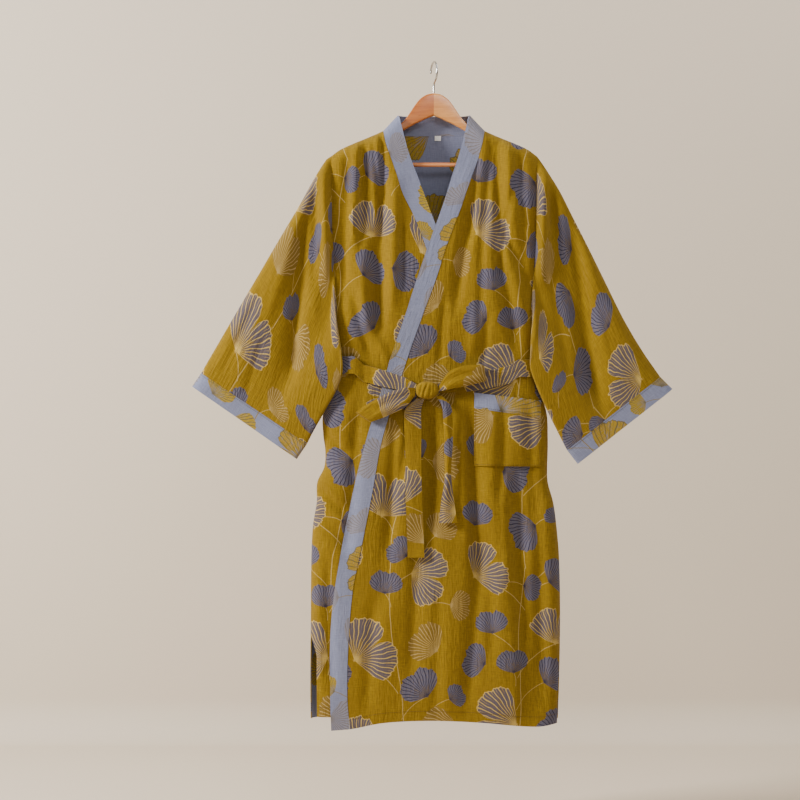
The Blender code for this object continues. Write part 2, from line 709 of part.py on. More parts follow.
def sleeve(side, table, cuff_end, folds, names, parts):
    rings = [ring_points(ring, folds) for ring in table]
    end = ring_points(cuff_end, folds)
    rings.insert(0, armhole_ring(side, rings[0]))
    cloth(names[0], rings, CLOTH_WALL, MUSTARD, parts, around=True)
    seam = []
    for last, far in zip(rings[-1], end):
        step = Vector(far) - Vector(last)
        seam.append(tuple(Vector(last) + step.normalized() * (SEAM_GAP + CUFF_SLANT)))
    middle = [halfway(a, b) for a, b in zip(seam, end)]
    cloth(names[1], [seam, middle, end], CLOTH_WALL, LAVENDER, parts, around=True)


# Pocket

def pocket(parts):
    def height(edges, share):
        return mix(edges[0], edges[1], share)

    def rows_between(upper, lower, count):
        rows = []
        for i in range(count + 1):
            row = []
            for j in range(POCKET_COLUMNS + 1):
                share = j / POCKET_COLUMNS
                x = mix(POCKET_LEFT, POCKET_RIGHT, share)
                z = mix(height(upper, share), height(lower, share), i / count)
                row.append((x, front_y(x, z, 0) - POCKET_LIFT, z))
            rows.append(row)
        return rows

    below_band = tuple(z - SEAM_GAP for z in POCKET_BAND_Z)
    cloth("pocket_band", rows_between(POCKET_TOP_Z, POCKET_BAND_Z, 2), CLOTH_WALL, LAVENDER, parts)
    cloth("pocket", rows_between(below_band, POCKET_BOTTOM_Z, POCKET_ROWS), CLOTH_WALL, MUSTARD, parts)


# Belt with its bow

def belt_y(x, z, half):
    """The belt lies on the upper front, and on the covered front to the left of the band."""
    heights = (z - half, z, z + half)
    edge = read(TOP_BAND, "z", "free", z)
    covered = smooth((edge - BELT_STEP - x) / BELT_STEP_EASE)
    upper = min(front_y(x, height, 0) for height in heights)
    under = min(front_y(x, height, 1) for height in heights)
    return mix(upper, under, covered) - BELT_LIFT


def belt_waist(parts):
    rows = []

    def add(x, y, z, half):
        rows.append([(x, y, z + half), (x, y, z), (x, y, z - half)])

    def add_side(side):
        z = BELT_SIDE_Z[0] if side < 0 else BELT_SIDE_Z[1]
        angles = BELT_SIDE_ANGLES if side < 0 else BELT_SIDE_ANGLES[::-1]
        heights = (z - BELT_HALF, z, z + BELT_HALF)
        centre = side * max(abs(side_x(height, side)) for height in heights) - side * SIDE_RADIUS
        for angle in angles:
            turn = math.radians(angle)
            face = "front" if angle > 0 else "back"
            depth = max(read(SIDES, "z", face, height) for height in heights) + BELT_LIFT
            height = mix(BELT_BACK_Z, z, smooth((angle + 90) / 180))
            x = centre + side * (SIDE_RADIUS + BELT_LIFT) * math.cos(turn)
            add(x, -depth * math.sin(turn), height, BELT_HALF)

    def add_strand(strand, end):
        """The strand comes forward on its way to the knot."""
        pull = BELT_PULL * smooth(1 - abs(strand.x - end.x) / BELT_PULL_REACH)
        add(strand.x, belt_y(strand.x, strand.z, strand.half) - pull, strand.z, strand.half)

    for strand in BELT_LEFT:
        add_strand(strand, BELT_LEFT[0])
    add_side(-1)
    left = side_x(BELT_BACK_Z, -1) + SIDE_RADIUS
    right = side_x(BELT_BACK_Z, 1) - SIDE_RADIUS
    back_heights = (BELT_BACK_Z - BELT_HALF, BELT_BACK_Z, BELT_BACK_Z + BELT_HALF)
    for i in range(1, BELT_BACK_STEPS):
        x = mix(left, right, i / BELT_BACK_STEPS)
        surface = max(back_y(x, height) for height in back_heights)
        add(x, surface + BELT_LIFT, BELT_BACK_Z, BELT_HALF)
    add_side(1)
    for strand in reversed(BELT_RIGHT):
        add_strand(strand, BELT_RIGHT[0])
    return cloth("belt_waist", rows, BELT_WALL, MUSTARD, parts)


def belt_knot(parts):
    bpy.ops.mesh.primitive_cube_add(size=1, location=KNOT_CENTRE)
    obj = bpy.context.object
    obj.name = "belt_knot"
    obj.scale = [side * KNOT_CAGE for side in KNOT_SIZE]
    bpy.ops.object.transform_apply(location=False, rotation=False, scale=True)
    soft = obj.modifiers.new("soft", "SUBSURF")
    soft.levels = 2
    soft.render_levels = 2
    return finish(obj, MUSTARD, parts)


def bow_loop(name, table, parts):
    """A strip that runs out from the knot, turns at the loop's end and runs back behind."""
    rows = []
    for line in table:
        top = (line.top_x, line.front_y, line.top_z)
        low = (line.low_x, line.front_y, line.low_z)
        rows.append([top, halfway(top, low), low])
    for line in reversed(table):
        top = (line.top_x, line.back_y, line.top_z)
        low = (line.low_x, line.back_y, line.low_z)
        rows.append([top, halfway(top, low), low])
    return cloth(name, rows, CLOTH_WALL, MUSTARD, parts)


def belt_tail(name, table, parts):
    rows = []
    for line in table:
        row = []
        for share, rise in TAIL_FOLD:
            row.append((mix(line.left, line.right, share), line.y - line.fold * rise, line.z))
        rows.append(row)
    return cloth(name, rows, CLOTH_WALL, MUSTARD, parts)


# Label

def size_label(parts):
    offset = BAND_WALL / 2 + 2 * SEAM_GAP + LABEL_WALL / 2
    rows = []
    for z in LABEL_Z:
        rows.append([(x, back_y(x, BACK_NECK_Z, 0.0) - offset, z) for x in LABEL_X])
    return cloth("size_label", rows, LABEL_WALL, WHITE, parts)


# Hanger

def hanger_arms(parts):
    """Rounded sections along both arms, swept forward towards the tips."""
    corner = [math.radians(angle) for angle in (0, 45, 90)]
    stations = [(-1, arm) for arm in reversed(ARM)] + [(1, arm) for arm in ARM[1:]]
    rings = []
    for side, arm in stations:
        x = side * arm.x
        y = -SHOULDER_SWEEP * (arm.x / SHOULDER_TIP) ** 2
        middle = (arm.top + arm.low) / 2
        tall = (arm.top - arm.low) / 2
        rounded = min(ARM_ROUND, tall * 0.8)
        ring = []
        for side_y, side_z in ((1, 1), (-1, 1), (-1, -1), (1, -1)):
            turns = corner if side_y * side_z > 0 else corner[::-1]
            for turn in turns:
                out_y = ARM_HALF - rounded + rounded * math.cos(turn)
                out_z = tall - rounded + rounded * math.sin(turn)
                ring.append((x, y + side_y * out_y, middle + side_z * out_z))
        rings.append(ring)
    return finish(mesh_object("hanger_arms", rings, around=True, caps=True), WOOD, parts)


def hanger_bar(parts):
    y = -SHOULDER_SWEEP * (BAR_HALF_LENGTH / SHOULDER_TIP) ** 2
    bpy.ops.mesh.primitive_cylinder_add(
        vertices=16,
        radius=BAR_RADIUS,
        depth=2 * BAR_HALF_LENGTH,
        location=(0, y, BAR_Z),
        rotation=(0, math.pi / 2, 0),
    )
    obj = bpy.context.object
    obj.name = "hanger_bar"
    return finish(obj, WOOD, parts)


def hanger_hook(parts):
    """A wire up from the wood, out to the front, over the top and down behind, turned a little."""
    centre_z = HOOK_WIRE - HOOK_BEND
    route = [(0.0, ARM[0].top + SEAM_GAP)] + list(HOOK_NECK)
    for angle in HOOK_ANGLES:
        turn = math.radians(angle)
        route.append((HOOK_BEND * math.cos(turn), centre_z + HOOK_BEND * math.sin(turn)))
    curve = bpy.data.curves.new("hanger_hook", "CURVE")
    curve.dimensions = "3D"
    curve.bevel_depth = HOOK_WIRE
    curve.bevel_resolution = 2
    curve.use_fill_caps = True
    wire = curve.splines.new("POLY")
    wire.points.add(len(route) - 1)
    for point, (out, z) in zip(wire.points, route):
        point.co = (-out * math.sin(HOOK_TURN), out * math.cos(HOOK_TURN), z, 1.0)
    obj = bpy.data.objects.new("hanger_hook", curve)
    bpy.context.scene.collection.objects.link(obj)
    return finish(obj, STEEL, parts)


def main():
    for obj in list(bpy.data.objects):
        bpy.data.objects.remove(obj, do_unlink=True)
    collection = bpy.data.collections.new("kimono_on_hanger")
    bpy.context.scene.collection.children.link(collection)
    rest = bpy.data.objects.new("hook_rest", None)
    collection.objects.link(rest)
    parts = {"collection": collection, "rest": rest}

    back_panel(parts)
    front_panel("left_front", 1, TOP_BAND, 0, 12, top_hem, parts)
    front_panel("right_front", -1, UNDER_BAND, 1, 9, under_hem, parts)
    front_band("neckband_left", 1, TOP_BAND, 0, top_hem, parts)
    front_band("neckband_right", -1, UNDER_BAND, 1, under_hem, parts)
    back_band(parts)
    sleeve(-1, RIGHT_SLEEVE, RIGHT_CUFF_END, RIGHT_SLEEVE_FOLDS, ("right_sleeve", "right_cuff_band"), parts)
    sleeve(1, LEFT_SLEEVE, LEFT_CUFF_END, LEFT_SLEEVE_FOLDS, ("left_sleeve", "left_cuff_band"), parts)
    pocket(parts)
    belt_waist(parts)
    belt_knot(parts)
    bow_loop("bow_loop_right", LEFT_LOOP, parts)
    bow_loop("bow_loop_left", RIGHT_LOOP, parts)
    belt_tail("belt_tail_right", LEFT_TAIL, parts)
    belt_tail("belt_tail_left", RIGHT_TAIL, parts)
    size_label(parts)
    hanger_arms(parts)
    hanger_bar(parts)
    hanger_hook(parts)


main()
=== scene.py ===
import math

import bpy
import numpy as np
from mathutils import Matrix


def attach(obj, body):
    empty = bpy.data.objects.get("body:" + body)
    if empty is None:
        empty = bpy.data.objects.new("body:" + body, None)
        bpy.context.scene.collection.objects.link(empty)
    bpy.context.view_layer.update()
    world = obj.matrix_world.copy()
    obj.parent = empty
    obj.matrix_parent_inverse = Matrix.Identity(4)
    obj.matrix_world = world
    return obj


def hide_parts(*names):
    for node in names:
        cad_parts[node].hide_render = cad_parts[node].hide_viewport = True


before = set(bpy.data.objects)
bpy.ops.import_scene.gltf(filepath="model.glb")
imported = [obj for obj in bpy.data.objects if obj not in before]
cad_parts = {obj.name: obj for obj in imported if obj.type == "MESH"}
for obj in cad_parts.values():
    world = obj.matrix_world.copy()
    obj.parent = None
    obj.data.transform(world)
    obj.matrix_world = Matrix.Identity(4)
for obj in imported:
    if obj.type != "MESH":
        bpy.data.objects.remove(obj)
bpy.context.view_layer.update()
bpy.ops.object.select_all(action="DESELECT")
print("frame loaded")

# Metres, +Z up, the robe's front faces -Y. The origin is where the hook rests on its rail.


# colours and nodes

def linearColour(hexText):
    channels = [int(hexText[i:i + 2], 16) / 255 for i in (1, 3, 5)]
    return tuple(c / 12.92 if c <= 0.04045 else ((c + 0.055) / 1.055) ** 2.4 for c in channels) + (1.0,)


def addNode(tree, kind, settings=None, inputs=None):
    node = tree.nodes.new(kind)
    for name, value in (settings or {}).items():
        setattr(node, name, value)
    for name, value in (inputs or {}).items():
        if isinstance(value, bpy.types.Node):
            value = value.outputs[0]
        if isinstance(value, bpy.types.NodeSocket):
            tree.links.new(value, node.inputs[name])
        else:
            node.inputs[name].default_value = value
    return node


def newMaterial(name, roughness, metallic=0.0):
    material = bpy.data.materials.new(name)
    material.use_nodes = True
    shader = material.node_tree.nodes["Principled BSDF"]
    shader.inputs["Roughness"].default_value = roughness
    shader.inputs["Metallic"].default_value = metallic
    return material, material.node_tree, shader


# camera, backdrop and light

studio = {
    "imagePixels": 800,
    "pixel": 0.00185,          # one pixel of the picture at the robe's front, in metres
    "distance": 4.0,
    "frontPlane": -0.022,
    "centreX": -0.063,
    "centreZ": -0.627,
    "sensor": 36.0,
    "floorZ": -1.425,
    "wallY": 1.05,
    "coveRadius": 0.10,
    "backdropHalf": 4.0,
    "floorFront": -6.0,
    "wallTop": 3.0,
    "coveSteps": 12,
    "backdropColour": "#DACBB6",
    "backdropShade": "#D6C7B2",
    "cloudsPerMetre": 1.2,     # the paper's patches are about 0.8 m across
    "airColour": "#F3EFEA",
    "airStrength": 0.22,
}


def makeCamera():
    width = studio["pixel"] * studio["imagePixels"]
    bpy.ops.object.camera_add(
        location=(studio["centreX"], studio["frontPlane"] - studio["distance"], studio["centreZ"]),
        rotation=(math.pi / 2, 0, 0),
    )
    camera = bpy.context.object
    camera.name = "photoCamera"
    camera.data.sensor_width = studio["sensor"]
    camera.data.lens = studio["sensor"] * studio["distance"] / width
    bpy.context.scene.camera = camera


def makeBackdrop():
    radius = studio["coveRadius"]
    profile = [(studio["floorFront"], studio["floorZ"])]
    for step in range(studio["coveSteps"] + 1):
        turn = math.radians(90 * step / studio["coveSteps"])
        profile.append((
            studio["wallY"] - radius + radius * math.sin(turn),
            studio["floorZ"] + radius - radius * math.cos(turn),
        ))
    profile.append((studio["wallY"], studio["wallTop"]))
    half = studio["backdropHalf"]
    points = [(x, y, z) for y, z in profile for x in (-half, half)]
    faces = [(2 * i, 2 * i + 1, 2 * i + 3, 2 * i + 2) for i in range(len(profile) - 1)]
    mesh = bpy.data.meshes.new("backdrop")
    mesh.from_pydata(points, [], faces)
    backdrop = bpy.data.objects.new("backdrop", mesh)
    bpy.context.scene.collection.objects.link(backdrop)
    mesh.shade_smooth()
    # painted paper: matte, with the faintest unevenness
    material, tree, shader = newMaterial("mattePaintedPaper", 0.95)
    place = addNode(tree, "ShaderNodeTexCoord")
    cloud = addNode(tree, "ShaderNodeTexNoise", None, {
        "Vector": place.outputs["Object"], "Scale": studio["cloudsPerMetre"],
    })
    tone = addNode(tree, "ShaderNodeMixRGB", None, {
        0: cloud,
        1: linearColour(studio["backdropShade"]),
        2: linearColour(studio["backdropColour"]),
    })
    tree.links.new(tone.outputs[0], shader.inputs["Base Color"])
    shader.inputs["Specular IOR Level"].default_value = 0.1
    mesh.materials.append(material)


lamps = {
    "key": {"place": (-2.6, -1.05, 0.55), "aim": (0.0, 0.0, -0.60), "size": 0.7, "power": 172},
    "fill": {"place": (0.5, -3.4, 0.4), "aim": (0.0, 0.0, -0.5), "size": 1.8, "power": 10},
    "neck": {"place": (0.20, -1.40, 0.50), "aim": (0.0, 0.0, -0.14), "size": 0.4, "power": 6},
    "wallRight": {"place": (1.7, -0.3, 1.9), "aim": (0.9, 1.05, -0.6), "size": 1.8, "power": 62},
    "wallLeft": {"place": (-1.9, -0.3, 1.9), "aim": (-0.8, 1.05, -0.5), "size": 1.8, "power": 10},
}


def makeLights():
    for name, lamp in lamps.items():
        data = bpy.data.lights.new(name, "AREA")
        data.energy = lamp["power"]
        data.size = lamp["size"]
        light = bpy.data.objects.new(name, data)
        bpy.context.scene.collection.objects.link(light)
        light.location = lamp["place"]
        aim = np.array(lamp["aim"]) - np.array(lamp["place"])
        flat = math.hypot(aim[0], aim[1])
        light.rotation_euler = (math.atan2(flat, -aim[2]), 0, math.atan2(aim[1], aim[0]) - math.pi / 2)
    world = bpy.data.worlds.new("studioAir")
    world.use_nodes = True
    air = world.node_tree.nodes["Background"]
    air.inputs["Color"].default_value = linearColour(studio["airColour"])
    air.inputs["Strength"].default_value = studio["airStrength"]
    bpy.context.scene.world = world


makeCamera()
makeBackdrop()
makeLights()
print("camera, backdrop and lights placed")


# the robe's form, the same as the solid model's, with more and finer folds

bodyForm = {
    "clothWall": 0.0018,
    "bandWall": 0.0030,
    "beltWall": 0.0025,
    "crownSeam": 0.0010,
    "neckSeam": 0.0003,
    "sideSeam": 0.0008,
    "armholeFoot": 2.4,
    "wrapStep": 0.0052,
    "wrapTop": -0.16,
    "wrapEase": 0.10,
    "shoulderTip": 0.190,
    "neckPoint": 0.094,
    "neckPointZ": -0.128,
    "backNeckZ": -0.1343,
    "armholeBottom": -0.452,
    "armholeHalf": 0.007,
    "armholeRound": 0.05,
    "sideRadius": 0.045,
    "crestRadius": 0.022,
    "slitTop": -1.055,
    "slitOpen": 0.012,
    "slitEase": 0.05,
    "slitLeftShare": 0.15,
    "shoulderSweep": 0.014,
    "sweepTop": -0.18,
    "sweepEnd": -0.50,
    "foldEase": 0.3,
    "underHemZ": -1.214,
    "backHemZ": -1.219,
    "hemZ": -1.220,
    "armholeEase": 0.8,        # the side rises more slowly from its edge at the armhole
    "sharpAngle": 50,          # degrees past which an edge shows as sharp
    "stitchGrid": 0.005,       # spacing of the cloth's grid
    "crestDrop": 0.05,         # the shoulder's rows keep the top's width down to here
    "crestRows": 9,
    "chestBand": 0.10,
    "chestZ": -0.250,          # even rows run from here to lowestRow
    "lowestRow": -1.165,
    "hemRows": 12,
    "sideColumns": 12,
    "frontColumns": 70,
    "straightColumn": 40,      # the front's column that keeps its own x on the cloth
    "backColumns": 84,
}

sideEdges = {
    "columns": "z left right front back",
    "rows": [
        (-0.128, -0.190, 0.190, 0.020, 0.020),
        (-0.176, -0.190, 0.190, 0.022, 0.021),
        (-0.300, -0.189, 0.188, 0.026, 0.024),
        (-0.452, -0.188, 0.186, 0.026, 0.024),
        (-0.500, -0.184, 0.185, 0.023, 0.022),
        (-0.560, -0.181, 0.187, 0.017, 0.018),
        (-0.610, -0.187, 0.196, 0.019, 0.019),
        (-0.652, -0.205, 0.209, 0.024, 0.022),
        (-0.690, -0.205, 0.211, 0.026, 0.024),
        (-0.722, -0.201, 0.211, 0.026, 0.024),
        (-0.752, -0.203, 0.210, 0.026, 0.024),
        (-0.780, -0.216, 0.211, 0.027, 0.024),
        (-0.817, -0.217, 0.221, 0.027, 0.025),
        (-0.860, -0.224, 0.227, 0.027, 0.025),
        (-0.920, -0.227, 0.232, 0.027, 0.025),
        (-1.030, -0.228, 0.234, 0.028, 0.026),
        (-1.151, -0.229, 0.232, 0.028, 0.026),
        (-1.240, -0.228, 0.229, 0.028, 0.026),
    ],
}

shoulderCrest = {
    "columns": "x z",
    "rows": [
        (0.094, -0.1280),
        (0.120, -0.1395),
        (0.150, -0.1525),
        (0.174, -0.1640),
        (0.190, -0.1760),
    ],
}

topBand = {
    "columns": "z seam free",
    "rows": [
        (-0.128, 0.0935, 0.0640),
        (-0.150, 0.0900, 0.0548),
        (-0.183, 0.0810, 0.0440),
        (-0.213, 0.0700, 0.0335),
        (-0.242, 0.0600, 0.0243),
        (-0.281, 0.0465, 0.0110),
        (-0.345, 0.0225, -0.0120),
        (-0.406, 0.0030, -0.0330),
        (-0.468, -0.0200, -0.0525),
        (-0.535, -0.0440, -0.0760),
        (-0.620, -0.0713, -0.1010),
        (-0.701, -0.0960, -0.1255),
        (-0.788, -0.1120, -0.1475),
        (-0.885, -0.1310, -0.1675),
        (-0.982, -0.1500, -0.1840),
        (-1.078, -0.1580, -0.1920),
        (-1.175, -0.1600, -0.1920),
        (-1.240, -0.1550, -0.1900),
    ],
}

underBand = {
    "columns": "z seam free",
    "rows": [
        (-0.128, -0.0935, -0.0640),
        (-0.150, -0.0900, -0.0524),
        (-0.183, -0.0785, -0.0415),
        (-0.213, -0.0683, -0.0300),
        (-0.244, -0.0586, -0.0190),
        (-0.284, -0.0387, -0.0040),
        (-0.345, -0.0150, 0.0190),
        (-0.468, 0.0250, 0.0590),
        (-0.620, 0.0700, 0.1040),
        (-0.788, 0.1080, 0.1420),
        (-0.982, 0.1350, 0.1690),
        (-1.078, 0.1420, 0.1760),
        (-1.240, 0.1450, 0.1790),
    ],
}

bandTop = {
    "columns": "drop x y z",
    "rows": [
        (0.0000, 0.0655, -0.0020, -0.0985),
        (0.0005, 0.0654, -0.0035, -0.0988),
        (0.0040, 0.0645, -0.0085, -0.1010),
        (0.0117, 0.0625, -0.0145, -0.1080),
        (0.0220, 0.0600, -0.0180, -0.1200),
        (0.0500, 0.0505, -0.0215, -0.1580),
    ],
}

backNeck = {
    "columns": "seamX seamY seamZ freeX freeY freeZ",
    "rows": [
        (0.0935, -0.0030, -0.1280, 0.0655, -0.0020, -0.0985),
        (0.0905, 0.0070, -0.1310, 0.0640, 0.0070, -0.0980),
        (0.0810, 0.0140, -0.1340, 0.0570, 0.0135, -0.0978),
        (0.0600, 0.0190, -0.1340, 0.0430, 0.0175, -0.0978),
        (0.0300, 0.0206, -0.1340, 0.0210, 0.0194, -0.0978),
        (0.0000, 0.0208, -0.1340, 0.0000, 0.0196, -0.0978),
    ],
}

topHem = {
    "columns": "x z",
    "rows": [
        (-0.190, -1.238),
        (-0.155, -1.235),
        (-0.092, -1.2236),
        (-0.003, -1.2197),
        (0.094, -1.2236),
        (0.190, -1.231),
        (0.229, -1.226),
    ],
}

# a fold is a soft trough (depth over 0) or ridge (under 0) along a line seen from the front
frontFolds = {
    "columns": "xTop zTop xLow zLow width depth",
    "rows": [
        (-0.128, -0.200, -0.098, -0.500, 0.016, 0.0050),
        (-0.075, -0.190, -0.070, -0.460, 0.018, -0.0030),
        (0.086, -0.210, 0.040, -0.420, 0.014, 0.0040),
        (0.120, -0.220, 0.155, -0.520, 0.016, 0.0050),
        (0.108, -0.300, 0.110, -0.500, 0.018, -0.0030),
        (0.012, -0.650, -0.012, -0.960, 0.022, 0.0060),
        (0.068, -0.660, 0.085, -0.980, 0.020, 0.0050),
        (0.140, -0.780, 0.165, -1.180, 0.024, 0.0050),
        (-0.060, -0.700, -0.095, -1.150, 0.026, -0.0040),
        (0.040, -0.950, 0.035, -1.200, 0.030, -0.0040),
        (-0.210, -0.830, -0.160, -0.900, 0.014, 0.0050),
        # creases that only the cloth shows
        (-0.160, -0.170, -0.168, -0.420, 0.010, 0.0078),
        (-0.144, -0.158, -0.150, -0.330, 0.008, -0.0045),
        (-0.128, -0.150, -0.136, -0.360, 0.009, 0.0067),
        (-0.108, -0.145, -0.106, -0.300, 0.007, -0.0045),
        (-0.097, -0.140, -0.090, -0.260, 0.006, 0.0050),
        (-0.176, -0.250, -0.168, -0.460, 0.008, 0.0060),
        (-0.112, -0.150, -0.096, -0.330, 0.006, 0.0050),
        (0.080, -0.160, 0.066, -0.330, 0.007, 0.0055),
        (0.150, -0.210, 0.118, -0.400, 0.007, 0.0050),
        (0.096, -0.215, 0.082, -0.470, 0.009, 0.0055),
        (-0.096, -0.215, -0.104, -0.500, 0.012, 0.0084),
        (-0.072, -0.230, -0.078, -0.450, 0.011, -0.0056),
        (-0.060, -0.300, -0.058, -0.420, 0.007, 0.0045),
        (-0.135, -0.330, -0.128, -0.500, 0.010, -0.0045),
        (-0.160, -0.400, -0.118, -0.550, 0.009, 0.0050),
        (-0.125, -0.470, -0.085, -0.560, 0.008, -0.0031),
        (0.104, -0.145, 0.098, -0.300, 0.007, 0.0045),
        (0.116, -0.150, 0.120, -0.330, 0.011, 0.0084),
        (0.136, -0.155, 0.142, -0.300, 0.010, -0.0056),
        (0.158, -0.175, 0.168, -0.380, 0.010, 0.0084),
        (0.140, -0.330, 0.178, -0.420, 0.008, 0.0067),
        (0.125, -0.320, 0.165, -0.470, 0.008, -0.0043),
        (0.112, -0.340, 0.150, -0.530, 0.010, 0.0067),
        (0.064, -0.270, 0.040, -0.460, 0.011, 0.0062),
        (0.085, -0.380, 0.070, -0.540, 0.009, -0.0036),
        (0.020, -0.440, 0.010, -0.560, 0.008, 0.0039),
        (0.100, -0.470, 0.092, -0.560, 0.008, 0.0039),
        (0.176, -0.640, 0.182, -0.860, 0.012, 0.0075),
        (0.128, -0.640, 0.122, -0.800, 0.010, 0.0065),
        (0.086, -0.900, 0.060, -1.190, 0.014, 0.0070),
        (-0.070, -0.640, -0.084, -0.900, 0.010, 0.0060),
        (-0.140, -0.640, -0.160, -0.900, 0.012, 0.0060),
        (0.132, -0.930, 0.126, -1.220, 0.030, -0.0065),
        (0.192, -0.940, 0.196, -1.220, 0.024, 0.0070),
        (-0.076, -0.760, -0.092, -1.000, 0.020, 0.0070),
        (0.000, -0.860, 0.012, -1.180, 0.022, -0.0045),
        (0.112, -0.660, 0.104, -0.900, 0.018, -0.0050),
        (-0.004, -0.640, -0.012, -0.860, 0.011, 0.0088),
        (0.066, -0.660, 0.078, -0.940, 0.012, 0.0081),
        (0.052, -0.650, 0.062, -0.900, 0.009, -0.0043),
        (-0.045, -0.640, -0.062, -0.780, 0.008, 0.0054),
        (0.158, -0.760, 0.162, -1.080, 0.014, 0.0088),
        (0.128, -0.760, 0.135, -0.950, 0.009, -0.0043),
        (0.100, -0.840, 0.108, -1.100, 0.012, 0.0054),
        (-0.030, -0.880, -0.042, -1.130, 0.012, 0.0054),
        (0.192, -0.780, 0.200, -1.150, 0.012, 0.0074),
        (0.010, -0.980, 0.004, -1.200, 0.012, 0.0054),
        (0.150, -1.000, 0.150, -1.210, 0.012, -0.0047),
        (-0.110, -1.000, -0.125, -1.200, 0.012, 0.0047),
        (-0.200, -0.690, -0.160, -0.730, 0.008, 0.0054),
        (-0.205, -0.730, -0.150, -0.790, 0.007, -0.0041),
        (-0.212, -0.790, -0.165, -0.840, 0.007, 0.0061),
        (-0.196, -0.930, -0.190, -1.150, 0.010, 0.0054),
        (-0.218, -0.960, -0.212, -1.140, 0.008, -0.0035),
    ],
}

backFolds = {
    "columns": "xTop zTop xLow zLow width depth",
    "rows": [
        (-0.110, -0.220, -0.070, -0.520, 0.022, 0.0055),
        (0.120, -0.220, 0.085, -0.520, 0.022, 0.0050),
        (0.000, -0.200, 0.010, -0.500, 0.030, -0.0035),
        (-0.090, -0.620, -0.130, -1.180, 0.028, 0.0060),
        (-0.010, -0.640, 0.005, -1.080, 0.030, -0.0045),
        (0.080, -0.630, 0.115, -1.190, 0.026, 0.0060),
        # creases that only the cloth shows
        (-0.150, -0.230, -0.140, -0.420, 0.009, 0.0030),
        (-0.060, -0.210, -0.045, -0.380, 0.010, 0.0026),
        (0.050, -0.240, 0.046, -0.430, 0.010, 0.0030),
        (0.155, -0.240, 0.150, -0.400, 0.009, -0.0026),
        (-0.120, -0.430, -0.100, -0.540, 0.009, 0.0030),
        (-0.020, -0.430, -0.030, -0.540, 0.010, 0.0026),
        (0.060, -0.440, 0.040, -0.540, 0.009, -0.0024),
        (0.130, -0.420, 0.115, -0.540, 0.009, 0.0030),
        (-0.150, -0.600, -0.165, -0.860, 0.010, 0.0034),
        (-0.055, -0.600, -0.060, -0.820, 0.010, 0.0030),
        (0.030, -0.600, 0.045, -0.840, 0.010, 0.0030),
        (0.130, -0.600, 0.150, -0.900, 0.010, -0.0028),
        (0.175, -0.700, 0.185, -1.100, 0.012, 0.0030),
        (-0.185, -0.800, -0.190, -1.140, 0.012, 0.0030),
    ],
}


def readTable(table, keyName, valueName, places):
    # the value of a column at each place, on a smooth curve through the table's rows
    names = table["columns"].split()
    rows = np.array(sorted(table["rows"], key=lambda row: row[names.index(keyName)]), float)
    keys = rows[:, names.index(keyName)]
    values = rows[:, names.index(valueName)]
    slopes = np.empty(len(keys))
    slopes[1:-1] = (values[2:] - values[:-2]) / (keys[2:] - keys[:-2])
    slopes[0] = (values[1] - values[0]) / (keys[1] - keys[0])
    slopes[-1] = (values[-1] - values[-2]) / (keys[-1] - keys[-2])
    place = np.clip(np.asarray(places, float), keys[0], keys[-1])
    low = np.clip(np.searchsorted(keys, place, side="right") - 1, 0, len(keys) - 2)
    span = keys[low + 1] - keys[low]
    part = (place - keys[low]) / span
    start = slopes[low] * span
    end = slopes[low + 1] * span
    rise = values[low + 1] - values[low]
    bend = 3 * rise - 2 * start - end
    twist = start + end - 2 * rise
    return values[low] + part * (start + part * (bend + part * twist))


def mix(first, second, share):
    return first + (second - first) * share


def smooth(value):
    part = np.clip(value, 0.0, 1.0)
    return part * part * (3 - 2 * part)


def roundIn(distance, radius, power=0.5):
    # 0 at an edge and 1 one radius inside it
    part = np.clip(np.asarray(distance, float) / radius, 0.0, 1.0)
    return (1 - (1 - part) ** 2) ** power


def rounded(radius, steps):
    turns = np.radians(np.linspace(0, 90, steps + 1))
    return radius * (1 - np.cos(turns))


def sweep(x, z):
    reach = np.minimum(np.abs(x) / bodyForm["shoulderTip"], 1.1)
    height = (z - bodyForm["sweepEnd"]) / (bodyForm["sweepTop"] - bodyForm["sweepEnd"])
    return -bodyForm["shoulderSweep"] * reach**2 * smooth(height)


def foldDepth(folds, x, z):
    total = np.zeros(np.broadcast(x, z).shape)
    ease = bodyForm["foldEase"]
    for xTop, zTop, xLow, zLow, width, depth in folds["rows"]:
        runX = xLow - xTop
        runZ = zLow - zTop
        length = math.hypot(runX, runZ)
        along = ((x - xTop) * runX + (z - zTop) * runZ) / length**2
        across = ((x - xTop) * runZ - (z - zTop) * runX) / length
        ends = smooth(0.5 + along / ease) * smooth(0.5 + (1 - along) / ease)
        total = total + depth * ends * np.exp(-((across / width) ** 2))
    return total


def armhole(z):
    return roundIn(z - bodyForm["armholeBottom"], bodyForm["armholeRound"])


def sideX(z, side):
    return readTable(sideEdges, "z", "left" if side < 0 else "right", z)


def crestZ(x):
    return readTable(shoulderCrest, "x", "z", np.abs(x))


def bodyDepth(x, z, face, drop):
    edge = np.minimum(x - sideX(z, -1), sideX(z, 1) - x)
    openHalf = bodyForm["armholeHalf"] * armhole(z)
    full = readTable(sideEdges, "z", face, z)
    rise = roundIn(edge, bodyForm["sideRadius"]) ** (1 + bodyForm["armholeEase"] * armhole(z))
    crest = roundIn(drop, bodyForm["crestRadius"])
    folds = foldDepth(frontFolds if face == "front" else backFolds, x, z)
    return bodyForm["sideSeam"] / 2 + (openHalf + (full - openHalf - folds) * rise) * crest


def frontY(x, z, layer, drop=1.0):
    step = bodyForm["wrapStep"] * layer * smooth((bodyForm["wrapTop"] - z) / bodyForm["wrapEase"])
    edge = np.minimum(x - sideX(z, -1), sideX(z, 1) - x)
    return sweep(x, z) - bodyDepth(x, z, "front", drop) + step * roundIn(edge, bodyForm["sideRadius"])


